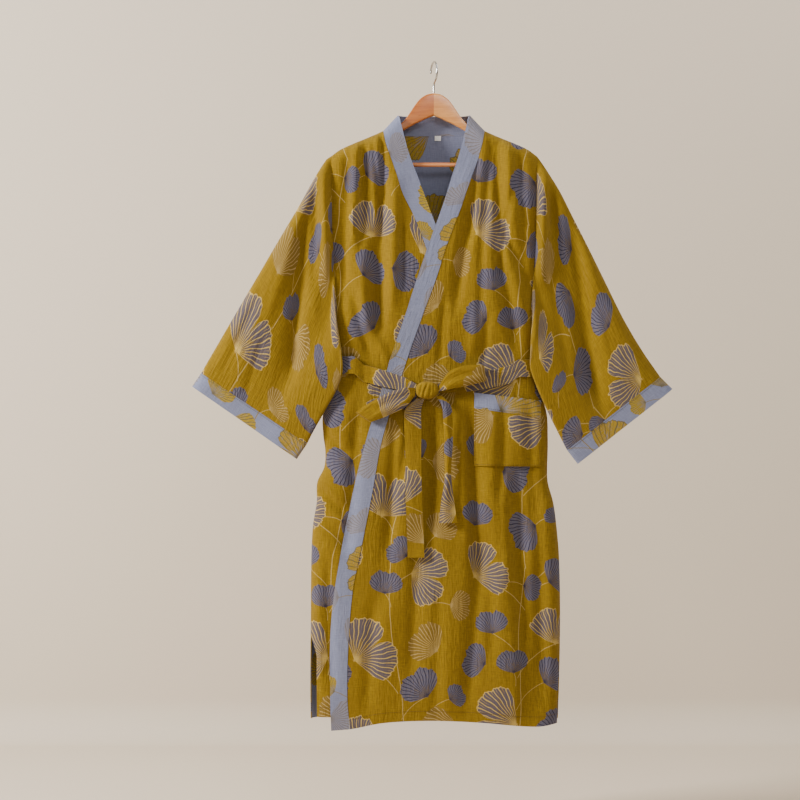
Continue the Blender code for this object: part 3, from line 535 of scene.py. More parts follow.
def backY(x, z, drop=1.0):
    general = sweep(x, z) + bodyDepth(x, z, "back", 1.0)
    atNeck = readTable(backNeck, "seamX", "seamY", np.abs(x))
    neckSide = mix(atNeck, general, roundIn(drop, bodyForm["crestRadius"]))
    shoulder = sweep(x, z) + bodyDepth(x, z, "back", drop)
    return np.where(np.abs(x) >= bodyForm["neckPoint"], shoulder, neckSide)


# cloth: the leaf repeat and its materials

leafRepeat = {
    "tile": (0.40, 0.52),
    "enlarged": 1.22,          # the design is drawn at this size on the cloth
    "halfWidth": 0.96,         # of a leaf, in parts of its radius
    "halfHeight": 0.58,
    "fanAngle": 1.36,          # half the fan, in radians
    "veins": 18,
    "mainStems": 8,            # the first rows of stems; the rest are leaf stalks
    "longer": (1.06, 1.01),    # branches and stalks run past their rows, so that they join
    "scallop": (0.15, -0.08),  # how far the rim's noise moves it out, and back in
    "rim": 0.012,              # softness of a leaf's edge, in parts of its radius
    "streaks": (46, 4, 9),     # across the fan, out from its foot, and from mark to mark
    "stemBow": 0.6,            # how far an arc stands off its chord, in parts of its ellipse
    # kind 0 is a large fan drawn in lines, 1 a small filled leaf, 2 a faint one
    "leaves": {
        "columns": "x y turn radius kind",
        "rows": [
            (0.206, 0.149, 105, 0.052, 2),
            (0.084, 0.048, 11, 0.052, 2),
            (0.177, 0.262, 52, 0.048, 2),
            (0.327, 0.059, 24, 0.048, 2),
            (0.169, 0.029, -95, 0.046, 2),
            (0.337, 0.452, 118, 0.046, 1),
            (0.358, 0.365, -60, 0.042, 1),
            (0.174, 0.435, -34, 0.038, 2),
            (0.147, 0.134, 102, 0.038, 1),
            (0.130, 0.405, 51, 0.034, 1),
            (0.197, 0.332, -94, 0.034, 2),
            (0.150, 0.036, 49, 0.030, 1),
            (0.317, 0.360, -103, 0.030, 1),
            (0.021, 0.354, -35, 0.027, 2),
            (0.373, 0.456, 21, 0.027, 1),
            (0.196, 0.189, -61, 0.027, 1),
            (0.286, 0.013, -97, 0.044, 1),
            (0.369, 0.132, 49, 0.045, 1),
            (0.162, 0.193, 37, 0.046, 1),
            (0.345, 0.213, -53, 0.043, 1),
            (0.001, 0.223, -103, 0.046, 1),
            (0.242, 0.033, -20, 0.040, 1),
            (0.253, 0.242, 72, 0.039, 1),
            (0.239, 0.452, -11, 0.039, 1),
            (0.264, 0.288, 6, 0.037, 1),
            (0.096, 0.348, -7, 0.037, 1),
            (0.296, 0.229, 3, 0.037, 1),
            (0.086, 0.465, -12, 0.067, 0),
            (0.049, 0.248, -55, 0.069, 0),
            (0.298, 0.151, 80, 0.069, 0),
            (0.052, 0.106, 18, 0.059, 0),
            (0.236, 0.373, -55, 0.058, 0),
            (0.137, 0.379, -102, 0.059, 0),
            (0.365, 0.271, -11, 0.057, 0),
            (0.010, 0.403, -50, 0.054, 0),
            (0.011, 0.027, 89, 0.055, 0),
        ],
    },
    "stems": {
        "columns": "x y endX endY width spread",
        "rows": [
            (0.122, 0.000, 0.127, 0.130, 0.0012, -0.10),
            (0.127, 0.130, 0.110, 0.260, 0.0012, -0.10),
            (0.110, 0.260, 0.105, 0.390, 0.0012, 0.10),
            (0.105, 0.390, 0.122, 0.520, 0.0012, 0.10),
            (0.319, 0.000, 0.300, 0.130, 0.0012, -0.10),
            (0.300, 0.130, 0.305, 0.260, 0.0012, -0.10),
            (0.305, 0.260, 0.324, 0.390, 0.0012, 0.10),
            (0.324, 0.390, 0.319, 0.520, 0.0012, 0.10),
            (0.286, 0.013, 0.322, -0.021, 0.0008, 0.30),
            (0.369, 0.132, 0.304, 0.082, 0.0008, -0.30),
            (0.162, 0.193, 0.124, 0.158, 0.0008, -0.30),
            (0.345, 0.213, 0.298, 0.173, 0.0008, -0.30),
            (0.264, 0.288, 0.304, 0.252, 0.0008, 0.30),
            (0.096, 0.348, 0.105, 0.328, 0.0008, 0.30),
            (0.296, 0.229, 0.298, 0.209, 0.0008, 0.30),
            (0.086, 0.465, 0.109, 0.439, 0.0010, 0.30),
            (0.049, 0.248, 0.117, 0.198, 0.0010, 0.30),
            (0.298, 0.151, 0.301, 0.131, 0.0010, 0.30),
            (0.052, 0.106, 0.128, 0.056, 0.0010, 0.30),
            (0.236, 0.373, 0.318, 0.323, 0.0010, 0.30),
            (0.137, 0.379, 0.104, 0.348, 0.0010, -0.30),
            (0.365, 0.271, 0.302, 0.221, 0.0010, -0.30),
            (0.010, 0.403, -0.078, 0.353, 0.0010, -0.30),
            (0.011, 0.027, -0.080, -0.023, 0.0010, -0.30),
            (0.169, 0.029, 0.143, 0.031, 0.0008, -0.25),
            (0.337, 0.452, 0.360, 0.464, 0.0008, 0.25),
            (0.358, 0.365, 0.335, 0.352, 0.0008, -0.25),
            (0.174, 0.435, 0.159, 0.413, 0.0008, -0.25),
            (0.147, 0.134, 0.172, 0.139, 0.0008, 0.25),
            (0.130, 0.405, 0.150, 0.389, 0.0008, 0.25),
            (0.197, 0.332, 0.171, 0.334, 0.0008, -0.25),
            (0.150, 0.036, 0.170, 0.019, 0.0008, 0.25),
            (0.317, 0.360, 0.292, 0.366, 0.0008, -0.25),
            (0.021, 0.354, 0.006, 0.333, 0.0008, -0.25),
            (0.373, 0.456, 0.382, 0.432, 0.0008, 0.25),
            (0.196, 0.189, 0.173, 0.176, 0.0008, -0.25),
        ],
    },
    "outline": [
        (0.00, 0.03), (0.025, 0.62), (0.06, 0.82), (0.13, 0.90), (0.24, 0.96), (0.36, 1.00),
        (0.44, 0.95), (0.475, 0.76), (0.495, 0.40), (0.515, 0.72), (0.56, 0.93), (0.64, 0.99),
        (0.76, 0.96), (0.88, 0.89), (0.945, 0.80), (0.98, 0.58), (1.00, 0.03),
    ],
    "smallOutline": [
        (0.00, 0.03), (0.04, 0.55), (0.10, 0.78), (0.20, 0.90), (0.36, 0.99), (0.48, 0.90),
        (0.53, 0.84), (0.60, 0.97), (0.74, 0.95), (0.87, 0.82), (0.95, 0.58), (1.00, 0.03),
    ],
}


def pickNearest(tree, place, entries, nothing):
    # each entry is a centre, a turn, two half sizes and a mark
    # the last one whose ellipse holds the place wins
    tileX, tileY = leafRepeat["tile"]
    picked = nothing
    for centreX, centreY, turn, halfX, halfY, mark in entries:
        around = addNode(tree, "ShaderNodeVectorMath", {"operation": "WRAP"}, {
            0: place,
            1: (centreX + tileX / 2, centreY + tileY / 2, 1),
            2: (centreX - tileX / 2, centreY - tileY / 2, -1),
        })
        local = addNode(tree, "ShaderNodeMapping", {"vector_type": "TEXTURE"}, {
            "Vector": around,
            "Location": (centreX, centreY, -mark),
            "Rotation": (0, 0, turn),
            "Scale": (halfX, halfY, 1),
        })
        apart = addNode(tree, "ShaderNodeVectorMath", {"operation": "DISTANCE"}, {
            0: local,
            1: (0, 0, mark),
        })
        held = addNode(tree, "ShaderNodeMath", {"operation": "LESS_THAN"}, {
            0: apart.outputs["Value"], 1: 1.0,
        })
        chosen = addNode(tree, "ShaderNodeMix", {"data_type": "VECTOR"}, {
            0: held,
            4: picked,
            5: local,
        })
        picked = chosen.outputs[1]
    return picked


def makeLeafGroup():
    tree = bpy.data.node_groups.new("leafRepeat", "ShaderNodeTree")
    tree.interface.new_socket(name="Vector", in_out="INPUT", socket_type="NodeSocketVector")
    for name in ("Fill", "Line", "Stem", "Kind"):
        tree.interface.new_socket(name=name, in_out="OUTPUT", socket_type="NodeSocketFloat")
    place = addNode(tree, "NodeGroupInput").outputs[0]

    leaves = []
    for index, (x, y, turn, radius, kind) in enumerate(leafRepeat["leaves"]["rows"]):
        lean = math.radians(turn)
        centreX = x - 0.5 * radius * math.sin(lean)
        centreY = y + 0.5 * radius * math.cos(lean)
        mark = kind + 0.09 * (index % 10) + 0.04
        leaves.append((
            centreX, centreY, lean,
            radius * leafRepeat["halfWidth"], radius * leafRepeat["halfHeight"], mark,
        ))
    picked = pickNearest(tree, place, leaves, (9, 9, -1))

    # the leaf's own polar place: the fan opens upwards from its foot
    unit = addNode(tree, "ShaderNodeVectorMath", {"operation": "MULTIPLY_ADD"}, {
        0: picked,
        1: (leafRepeat["halfWidth"], leafRepeat["halfHeight"], 0),
        2: (0, 0.5, 0),
    })
    axes = addNode(tree, "ShaderNodeSeparateXYZ", None, {0: unit})
    mark = addNode(tree, "ShaderNodeSeparateXYZ", None, {0: picked}).outputs[2]
    angle = addNode(tree, "ShaderNodeMath", {"operation": "ARCTAN2"}, {0: axes, 1: axes.outputs[1]})
    radius = addNode(tree, "ShaderNodeVectorMath", {"operation": "LENGTH"}, {0: unit}).outputs["Value"]
    fan = leafRepeat["fanAngle"]
    share = addNode(tree, "ShaderNodeMapRange", None, {
        "Value": angle, "From Min": -fan, "From Max": fan,
    }).outputs[0]
    isLarge = addNode(tree, "ShaderNodeMath", {"operation": "LESS_THAN"}, {0: mark, 1: 1.0}).outputs[0]
    isFaint = addNode(tree, "ShaderNodeMath", {"operation": "GREATER_THAN"}, {0: mark, 1: 2.0}).outputs[0]
    curves = []
    for table in (leafRepeat["smallOutline"], leafRepeat["outline"]):
        drawnCurve = addNode(tree, "ShaderNodeFloatCurve", None, {"Value": share})
        curve = drawnCurve.mapping.curves[0]
        curve.points[0].location = table[0]
        curve.points[-1].location = table[-1]
        for point in table[1:-1]:
            curve.points.new(*point)
        for point in curve.points:
            point.handle_type = "VECTOR"
        drawnCurve.mapping.update()
        curves.append(drawnCurve.outputs[0])
    outline = addNode(tree, "ShaderNodeMix", {"data_type": "FLOAT"}, {0: isLarge, 2: curves[0], 3: curves[1]})

    # frayed, scalloped rim, different on each leaf
    seed = addNode(tree, "ShaderNodeMath", {"operation": "MULTIPLY_ADD"}, {0: mark, 1: 37.0, 2: angle})
    scallop = addNode(tree, "ShaderNodeTexNoise", {"noise_dimensions": "1D"}, {
        "W": seed, "Scale": 7.0, "Detail": 3.0,
    })
    rim = addNode(tree, "ShaderNodeMath", {"operation": "MULTIPLY_ADD"}, {
        0: scallop, 1: leafRepeat["scallop"][0], 2: outline,
    })
    rimLess = addNode(tree, "ShaderNodeMath", {"operation": "SUBTRACT"}, {
        0: rim, 1: -leafRepeat["scallop"][1],
    })
    edge = addNode(tree, "ShaderNodeMath", {"operation": "SUBTRACT"}, {0: rimLess, 1: radius}).outputs[0]
    inside = addNode(tree, "ShaderNodeMapRange", {"interpolation_type": "SMOOTHSTEP"}, {
        "Value": edge, "From Min": 0.0, "From Max": leafRepeat["rim"],
    }).outputs[0]
    fromRim = addNode(tree, "ShaderNodeMath", {"operation": "ABSOLUTE"}, {
        0: addNode(tree, "ShaderNodeMath", {"operation": "SUBTRACT"}, {0: edge, 1: leafRepeat["rim"]}),
    })
    rimLine = addNode(tree, "ShaderNodeMapRange", None, {
        "Value": fromRim, "From Min": 0.008, "From Max": 0.020, "To Min": 1.0, "To Max": 0.0,
    })

    # veins run out from the foot and double towards the rim
    wander = addNode(tree, "ShaderNodeTexNoise", None, {
        "Vector": unit, "Scale": 3.0, "Detail": 1.0,
    })
    count = addNode(tree, "ShaderNodeMath", {"operation": "MULTIPLY_ADD"}, {
        0: share, 1: float(leafRepeat["veins"]), 2: wander,
    })
    between = addNode(tree, "ShaderNodeMath", {"operation": "PINGPONG"}, {0: count, 1: 0.5})
    taper = addNode(tree, "ShaderNodeMapRange", None, {
        "Value": radius, "From Min": 0.1, "From Max": 0.6, "To Min": 0.45, "To Max": 0.8,
    })
    spacing = addNode(tree, "ShaderNodeMath", {"operation": "MULTIPLY"}, {
        0: taper, 1: 2 * fan / leafRepeat["veins"],
    }).outputs[0]
    toVeinBare = addNode(tree, "ShaderNodeMath", {"operation": "MULTIPLY"}, {0: between, 1: spacing})
    # a small leaf's veins are as wide as a large one's
    bySize = addNode(tree, "ShaderNodeMath", {"operation": "MULTIPLY_ADD"}, {0: isLarge, 1: 0.35, 2: 0.65})
    toVein = addNode(tree, "ShaderNodeMath", {"operation": "MULTIPLY"}, {0: toVeinBare, 1: bySize})
    vein = addNode(tree, "ShaderNodeMapRange", None, {
        "Value": toVein, "From Min": 0.006, "From Max": 0.015, "To Min": 1.0, "To Max": 0.0,
    })
    otherWay = addNode(tree, "ShaderNodeMath", {"operation": "SUBTRACT"}, {0: 0.5, 1: between})
    toMiddle = addNode(tree, "ShaderNodeMath", {"operation": "MULTIPLY"}, {0: otherWay, 1: spacing})
    fine = addNode(tree, "ShaderNodeMapRange", None, {
        "Value": toMiddle, "From Min": 0.001, "From Max": 0.008, "To Min": 1.0, "To Max": 0.0,
    })
    farOut = addNode(tree, "ShaderNodeMapRange", None, {
        "Value": radius, "From Min": 0.70, "From Max": 0.85, "To Max": 0.6,
    })
    fineOut = addNode(tree, "ShaderNodeMath", {"operation": "MULTIPLY"}, {0: fine, 1: farOut})
    rimOfLarge = addNode(tree, "ShaderNodeMath", {"operation": "MULTIPLY"}, {0: rimLine, 1: isLarge})
    lines = addNode(tree, "ShaderNodeMath", {"operation": "MAXIMUM"}, {0: vein, 1: fineOut})
    drawn = addNode(tree, "ShaderNodeMath", {"operation": "MAXIMUM"}, {0: lines, 1: rimOfLarge})
    foot = addNode(tree, "ShaderNodeMapRange", None, {
        "Value": radius, "From Min": 0.06, "From Max": 0.17, "To Min": 0.9, "To Max": 0.0,
    })
    footed = addNode(tree, "ShaderNodeMath", {"operation": "MAXIMUM"}, {0: drawn, 1: foot})
    line = addNode(tree, "ShaderNodeMath", {"operation": "MULTIPLY"}, {0: footed, 1: inside})

    # the fill is streaked along the veins, thinner towards the foot on a large leaf
    streakPlace = addNode(tree, "ShaderNodeCombineXYZ", None, {0: share, 1: radius, 2: mark})
    streakScale = addNode(tree, "ShaderNodeVectorMath", {"operation": "MULTIPLY"}, {
        0: streakPlace, 1: leafRepeat["streaks"],
    })
    streak = addNode(tree, "ShaderNodeTexNoise", None, {
        "Vector": streakScale, "Scale": 1.0, "Detail": 2.0,
    })
    dense = addNode(tree, "ShaderNodeMapRange", None, {
        "Value": radius, "From Min": 0.10, "From Max": 0.60, "To Min": -0.14, "To Max": 0.16,
    })
    streaked = addNode(tree, "ShaderNodeMath", {"operation": "ADD"}, {0: streak, 1: dense})
    large = addNode(tree, "ShaderNodeMapRange", None, {
        "Value": streaked, "From Min": 0.36, "From Max": 0.54, "To Min": 0.25, "To Max": 0.97,
    })
    small = addNode(tree, "ShaderNodeMapRange", None, {
        "Value": streaked, "From Min": 0.38, "From Max": 0.54, "To Min": 0.55, "To Max": 0.98,
    })
    byKind = addNode(tree, "ShaderNodeMix", {"data_type": "FLOAT"}, {
        0: isLarge, 2: small, 3: large,
    })
    faintShare = addNode(tree, "ShaderNodeMath", {"operation": "MULTIPLY_ADD"}, {
        0: isFaint, 1: -0.62, 2: 1.0,
    })
    fillAll = addNode(tree, "ShaderNodeMath", {"operation": "MULTIPLY"}, {0: byKind, 1: faintShare})
    fill = addNode(tree, "ShaderNodeMath", {"operation": "MULTIPLY"}, {0: fillAll, 1: inside})

    # branches and leaf stalks are shallow arcs
    stemMasks = []
    stemRows = leafRepeat["stems"]["rows"]
    parted = (stemRows[:leafRepeat["mainStems"]], stemRows[leafRepeat["mainStems"]:])
    for rows, longer in zip(parted, leafRepeat["longer"]):
        stems = []
        for x, y, endX, endY, width, spread in rows:
            half = longer * math.hypot(endX - x, endY - y) / 2
            across = half * abs(spread)
            stems.append((
                (x + endX) / 2, (y + endY) / 2, math.atan2(endY - y, endX - x), half,
                math.copysign(across, spread), width / 2 / across,
            ))
        axes = addNode(tree, "ShaderNodeSeparateXYZ", None, {
            0: pickNearest(tree, place, stems, (9, 9, 0.01)),
        })
        squared = addNode(tree, "ShaderNodeMath", {"operation": "MULTIPLY"}, {0: axes, 1: axes})
        bow = addNode(tree, "ShaderNodeMath", {"operation": "MULTIPLY_ADD"}, {
            0: squared, 1: leafRepeat["stemBow"], 2: -leafRepeat["stemBow"],
        })
        fromStem = addNode(tree, "ShaderNodeMath", {"operation": "ADD"}, {0: axes.outputs[1], 1: bow})
        inWidths = addNode(tree, "ShaderNodeMath", {"operation": "DIVIDE"}, {
            0: addNode(tree, "ShaderNodeMath", {"operation": "ABSOLUTE"}, {0: fromStem}),
            1: axes.outputs[2],
        })
        stemMasks.append(addNode(tree, "ShaderNodeMapRange", None, {
            "Value": inWidths, "From Min": 0.7, "From Max": 1.5, "To Min": 1.0, "To Max": 0.0,
        }).outputs[0])
    stem = addNode(tree, "ShaderNodeMath", {"operation": "MAXIMUM"}, {0: stemMasks[0], 1: stemMasks[1]})
    clear = addNode(tree, "ShaderNodeMath", {"operation": "SUBTRACT"}, {0: 1.0, 1: inside})
    stemSeen = addNode(tree, "ShaderNodeMath", {"operation": "MULTIPLY"}, {0: stem, 1: clear})

    addNode(tree, "NodeGroupOutput", None, {
        "Fill": fill,
        "Line": line,
        "Stem": stemSeen,
        "Kind": mark,
    })
    return tree


leafGroup = makeLeafGroup()

clothLooks = {
    "mustardDoubleGauze": {
        "ground": "#7C5F06", "slub": "#604600", "light": "#94770E",
        "fills": ("#544C54", "#5B5868", "#604C34"),
        "lines": ("#BC9E52", "#2A283C", "#A08650"),
        "stem": "#A88E50", "crinkle": 0.55,
    },
    "lavenderReverse": {
        "ground": "#777A90", "slub": "#656880", "light": "#868AA0",
        "fills": ("#96780C", "#9C8008", "#84766A"),
        "lines": ("#5A5234", "#5C5440", "#6C645E"),
        "stem": "#806A1C", "crinkle": 0.25,
    },
}


# cloth places are in metres, so a scale is a count to the metre
weave = {
    "ripple": 55.0,            # the leaves' edges wander in steps about 18 mm long
    "rippleReach": 0.0022,
    "weft": (70, 620, 1),      # slubs 14 mm long and 1.6 mm wide, coarser than real so that they show
    "warp": (560, 60, 1),      # slubs 17 mm long and 1.8 mm wide, the other way
    "patches": 14.0,           # paler and darker patches about 70 mm across
    "crinkle": (190, 26, 1),   # crinkles 5 mm wide and 38 mm long
    "crinklePatches": 5.5,     # crinkled more and less over about 180 mm
    "crinkleHeight": 0.0022,
    "threadHeight": 0.0007,
}


def makeClothMaterial(name):
    # loose double weave, crinkled after washing: dry and thready, with slubs and a leaf design
    look = clothLooks[name]
    material, tree, shader = newMaterial(name, 0.88)
    place = addNode(tree, "ShaderNodeUVMap", {"uv_map": "clothUv"}).outputs[0]
    ripple = addNode(tree, "ShaderNodeTexNoise", None, {
        "Vector": place, "Scale": weave["ripple"], "Detail": 2.0,
    })
    shift = addNode(tree, "ShaderNodeVectorMath", {"operation": "MULTIPLY_ADD"}, {
        0: ripple.outputs[1], 1: (weave["rippleReach"], weave["rippleReach"], 0), 2: place,
    })
    enlarged = addNode(tree, "ShaderNodeVectorMath", {"operation": "SCALE"}, {
        0: shift, "Scale": 1 / leafRepeat["enlarged"],
    })
    leaf = addNode(tree, "ShaderNodeGroup", {"node_tree": leafGroup}, {0: enlarged})

    # threads: long thin slubs both ways
    ways = []
    for way in ("weft", "warp"):
        along = addNode(tree, "ShaderNodeMapping", None, {"Vector": place, "Scale": weave[way]})
        ways.append(addNode(tree, "ShaderNodeTexNoise", None, {"Vector": along, "Scale": 1.0, "Detail": 3.0}))
    threads = addNode(tree, "ShaderNodeMath", {"operation": "ADD"}, {0: ways[0], 1: ways[1]})
    dark = addNode(tree, "ShaderNodeMapRange", None, {"Value": threads, "From Min": 0.65, "From Max": 1.30})
    ground = addNode(tree, "ShaderNodeMix", {"data_type": "RGBA"}, {
        0: dark, 6: linearColour(look["slub"]), 7: linearColour(look["light"]),
    })
    patches = addNode(tree, "ShaderNodeTexNoise", None, {
        "Vector": place, "Scale": weave["patches"], "Detail": 2.0,
    })
    evened = addNode(tree, "ShaderNodeMix", {"data_type": "RGBA"}, {
        0: addNode(tree, "ShaderNodeMapRange", None, {
            "Value": patches, "From Min": 0.3, "From Max": 0.7, "To Min": 0.3, "To Max": 0.7,
        }).outputs[0],
        6: ground.outputs[2],
        7: linearColour(look["ground"]),
    })

    # the leaves' own colours, by kind
    kindShare = addNode(tree, "ShaderNodeMath", {"operation": "DIVIDE"}, {0: leaf.outputs["Kind"], 1: 3.0})
    ramps = []
    for colours in (look["fills"], look["lines"]):
        ramp = addNode(tree, "ShaderNodeValToRGB", None, {0: kindShare})
        ramp.color_ramp.interpolation = "CONSTANT"
        ramp.color_ramp.elements[0].color = linearColour(colours[0])
        ramp.color_ramp.elements[1].position = 1 / 3
        ramp.color_ramp.elements[1].color = linearColour(colours[1])
        ramp.color_ramp.elements.new(2 / 3).color = linearColour(colours[2])
        ramps.append(ramp.outputs[0])
    grain = addNode(tree, "ShaderNodeMapRange", None, {
        "Value": threads, "From Min": 0.75, "From Max": 1.0, "To Min": 0.72, "To Max": 1.0,
    }).outputs[0]
    base = evened.outputs[2]
    for mask, colour in (("Fill", ramps[0]), ("Line", ramps[1]), ("Stem", linearColour(look["stem"]))):
        amount = addNode(tree, "ShaderNodeMath", {"operation": "MULTIPLY"}, {0: leaf.outputs[mask], 1: grain})
        base = addNode(tree, "ShaderNodeMix", {"data_type": "RGBA"}, {
            0: amount, 6: base, 7: colour,
        }).outputs[2]
    tree.links.new(base, shader.inputs["Base Color"])

    # crinkle along the warp, then the threads themselves
    crinklePlace = addNode(tree, "ShaderNodeMapping", None, {"Vector": place, "Scale": weave["crinkle"]})
    crinkle = addNode(tree, "ShaderNodeTexNoise", None, {
        "Vector": crinklePlace, "Scale": 1.0, "Detail": 2.0, "Distortion": 0.4,
    })
    uneven = addNode(tree, "ShaderNodeTexNoise", None, {
        "Vector": place, "Scale": weave["crinklePatches"], "Detail": 1.0,
    })
    patchy = addNode(tree, "ShaderNodeMapRange", None, {
        "Value": uneven, "From Min": 0.42, "From Max": 0.60, "To Min": 0.4, "To Max": 1.7,
    })
    height = addNode(tree, "ShaderNodeMath", {"operation": "MULTIPLY"}, {0: crinkle, 1: patchy})
    crinkled = addNode(tree, "ShaderNodeBump", None, {
        "Height": height, "Strength": look["crinkle"], "Distance": weave["crinkleHeight"],
    })
    woven = addNode(tree, "ShaderNodeBump", None, {
        "Height": threads, "Strength": 0.7, "Distance": weave["threadHeight"], "Normal": crinkled,
    })
    tree.links.new(woven.outputs[0], shader.inputs["Normal"])
    shader.inputs["Sheen Weight"].default_value = 0.05
    shader.inputs["Sheen Roughness"].default_value = 0.6
    shader.inputs["Specular IOR Level"].default_value = 0.12
    return material


mustardCloth = makeClothMaterial("mustardDoubleGauze")
lavenderCloth = makeClothMaterial("lavenderReverse")
# outside, inside and a slot's name
mustardLined = (mustardCloth, lavenderCloth, "mustard_cloth")
mustardFolded = (mustardCloth, mustardCloth, "mustard_cloth")
lavenderFolded = (lavenderCloth, lavenderCloth, "lavender_cloth")
print("cloth woven")


# sheets of cloth

grids = {}                     # each cloth piece's points, for the sewing on it


def gridLengths(points):
    # running length along each row and down each column
    across = np.zeros(points.shape[:2])
    across[:, 1:] = np.cumsum(np.linalg.norm(np.diff(points, axis=1), axis=2), axis=1)
    down = np.zeros(points.shape[:2])
    down[1:, :] = np.cumsum(np.linalg.norm(np.diff(points, axis=0), axis=2), axis=0)
    return across, down


def makeSheet(name, points, uv, wall, outside, inside, around, flip):
    rows, columns = points.shape[:2]
    if around:
        columns -= 1           # the last column repeats the first, but for its place on the cloth
    mesh = bpy.data.meshes.new(name)
    faces = []
    corners = []
    for r in range(rows - 1):
        for c in range(points.shape[1] - 1):
            n = (c + 1) % columns if around else c + 1
            face = [r * columns + c, r * columns + n, (r + 1) * columns + n, (r + 1) * columns + c]
            corner = [(r, c), (r, c + 1), (r + 1, c + 1), (r + 1, c)]
            if flip:
                face.reverse()
                corner.reverse()
            faces.append(face)
            corners.extend(corner)
    mesh.from_pydata(points[:, :columns].reshape(-1, 3).tolist(), [], faces)
    layer = mesh.uv_layers.new(name="clothUv")
    layer.data.foreach_set("uv", np.array([uv[r, c] for r, c in corners], np.float32).ravel())
    mesh.materials.append(outside)
    mesh.materials.append(inside)
    mesh.shade_smooth()
    piece = bpy.data.objects.new(name, mesh)
    bpy.context.scene.collection.objects.link(piece)
    bpy.context.view_layer.objects.active = piece
    shell = piece.modifiers.new("wall", "SOLIDIFY")
    shell.thickness = wall
    shell.offset = 0
    shell.use_even_offset = not around
    shell.material_offset = 1
    bpy.ops.object.modifier_apply(modifier="wall")
    mesh.set_sharp_from_angle(angle=math.radians(bodyForm["sharpAngle"]))
    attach(piece, "root")
    return piece


def makeCloth(node, points, uv, look, wall=bodyForm["clothWall"],
              around=False, flip=False):
    outside, inside, slot = look
    grids[node] = points
    piece = makeSheet(node + "_cloth", points, uv, wall, outside, inside, around, flip)
    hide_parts(node)


def panelHeights(crest, hem):
    # rows from the shoulder's crest down: round over it, on to the chest, then even rows to the hem
    radius = bodyForm["crestRadius"]
    step = bodyForm["stitchGrid"]
    drops = rounded(radius, bodyForm["crestRows"])
    heights = [crest - drop for drop in drops]
    dropRows = [np.full_like(crest, drop) for drop in drops]
    chest = bodyForm["chestZ"]
    count = int(bodyForm["chestBand"] / step)
    for i in range(1, count + 1):
        heights.append(mix(crest - radius, chest, i / count))
        dropRows.append(crest - heights[-1])
    levels = np.arange(chest - step, bodyForm["lowestRow"], -step)
    for level in levels:
        heights.append(np.full_like(crest, level))
        dropRows.append(np.ones_like(crest))
    last = levels[-1]
    for i in range(1, bodyForm["hemRows"] + 1):
        heights.append(mix(last, hem, i / bodyForm["hemRows"]))
        dropRows.append(np.ones_like(crest))
    return np.array(heights), np.array(dropRows)


def topHemZ(x):
    return readTable(topHem, "x", "z", x)


def underHemZ(x):
    return np.full_like(np.asarray(x, float), bodyForm["underHemZ"])


frontPanels = {
    "left_front": {
        "side": 1, "band": topBand, "layer": 0, "hem": topHemZ,
        "offset": (0.210, 0.140), "cut": (0.44, 1.13), "area": 0.36,
    },
    "right_front": {
        "side": -1, "band": underBand, "layer": 1, "hem": underHemZ,
        "offset": (0.075, 0.020), "cut": (0.44, 1.13), "area": 0.32,
    },
}


def makeFrontPanel(name):
    panel = frontPanels[name]
    side = panel["side"]
    radius = bodyForm["sideRadius"]
    bend = bodyForm["sideColumns"]
    column = np.arange(bend + bodyForm["frontColumns"] + 1)
    inFromSide = side * rounded(radius, bend)[np.minimum(column, bend)]
    share = np.clip((column - bend) / bodyForm["frontColumns"], 0, 1)

    def placeX(z):
        slit = bodyForm["slitOpen"] * smooth((bodyForm["slitTop"] - z) / bodyForm["slitEase"])
        slit = slit * (1.0 if side < 0 else bodyForm["slitLeftShare"])
        edge = sideX(z, side) - side * slit
        inner = readTable(panel["band"], "z", "seam", z)
        return np.where(column <= bend, edge - inFromSide, mix(edge - side * radius, inner, share))

    neck = readTable(panel["band"], "z", "seam", bodyForm["neckPointZ"])
    farX = side * (bodyForm["shoulderTip"] - radius)
    topX = np.where(column <= bend, side * bodyForm["shoulderTip"] - inFromSide, mix(farX, neck, share))
    hem = panel["hem"](placeX(np.full(len(column), bodyForm["hemZ"])))
    z, drop = panelHeights(crestZ(topX), hem)
    x = placeX(z)
    points = np.stack([x, frontY(x, z, panel["layer"], drop), z], axis=2)
    across, _ = gridLengths(points)
    straight = slice(bodyForm["straightColumn"], bodyForm["straightColumn"] + 1)
    u = side * -(across - across[:, straight]) + x[:, straight]
    uv = np.stack([u + panel["offset"][0], z + panel["offset"][1]], axis=2)
    makeCloth(name, points, uv, mustardLined, flip=side < 0)


backPanel = {"offset": (0.02, 0.16), "cut": (0.56, 1.13), "area": 0.53}


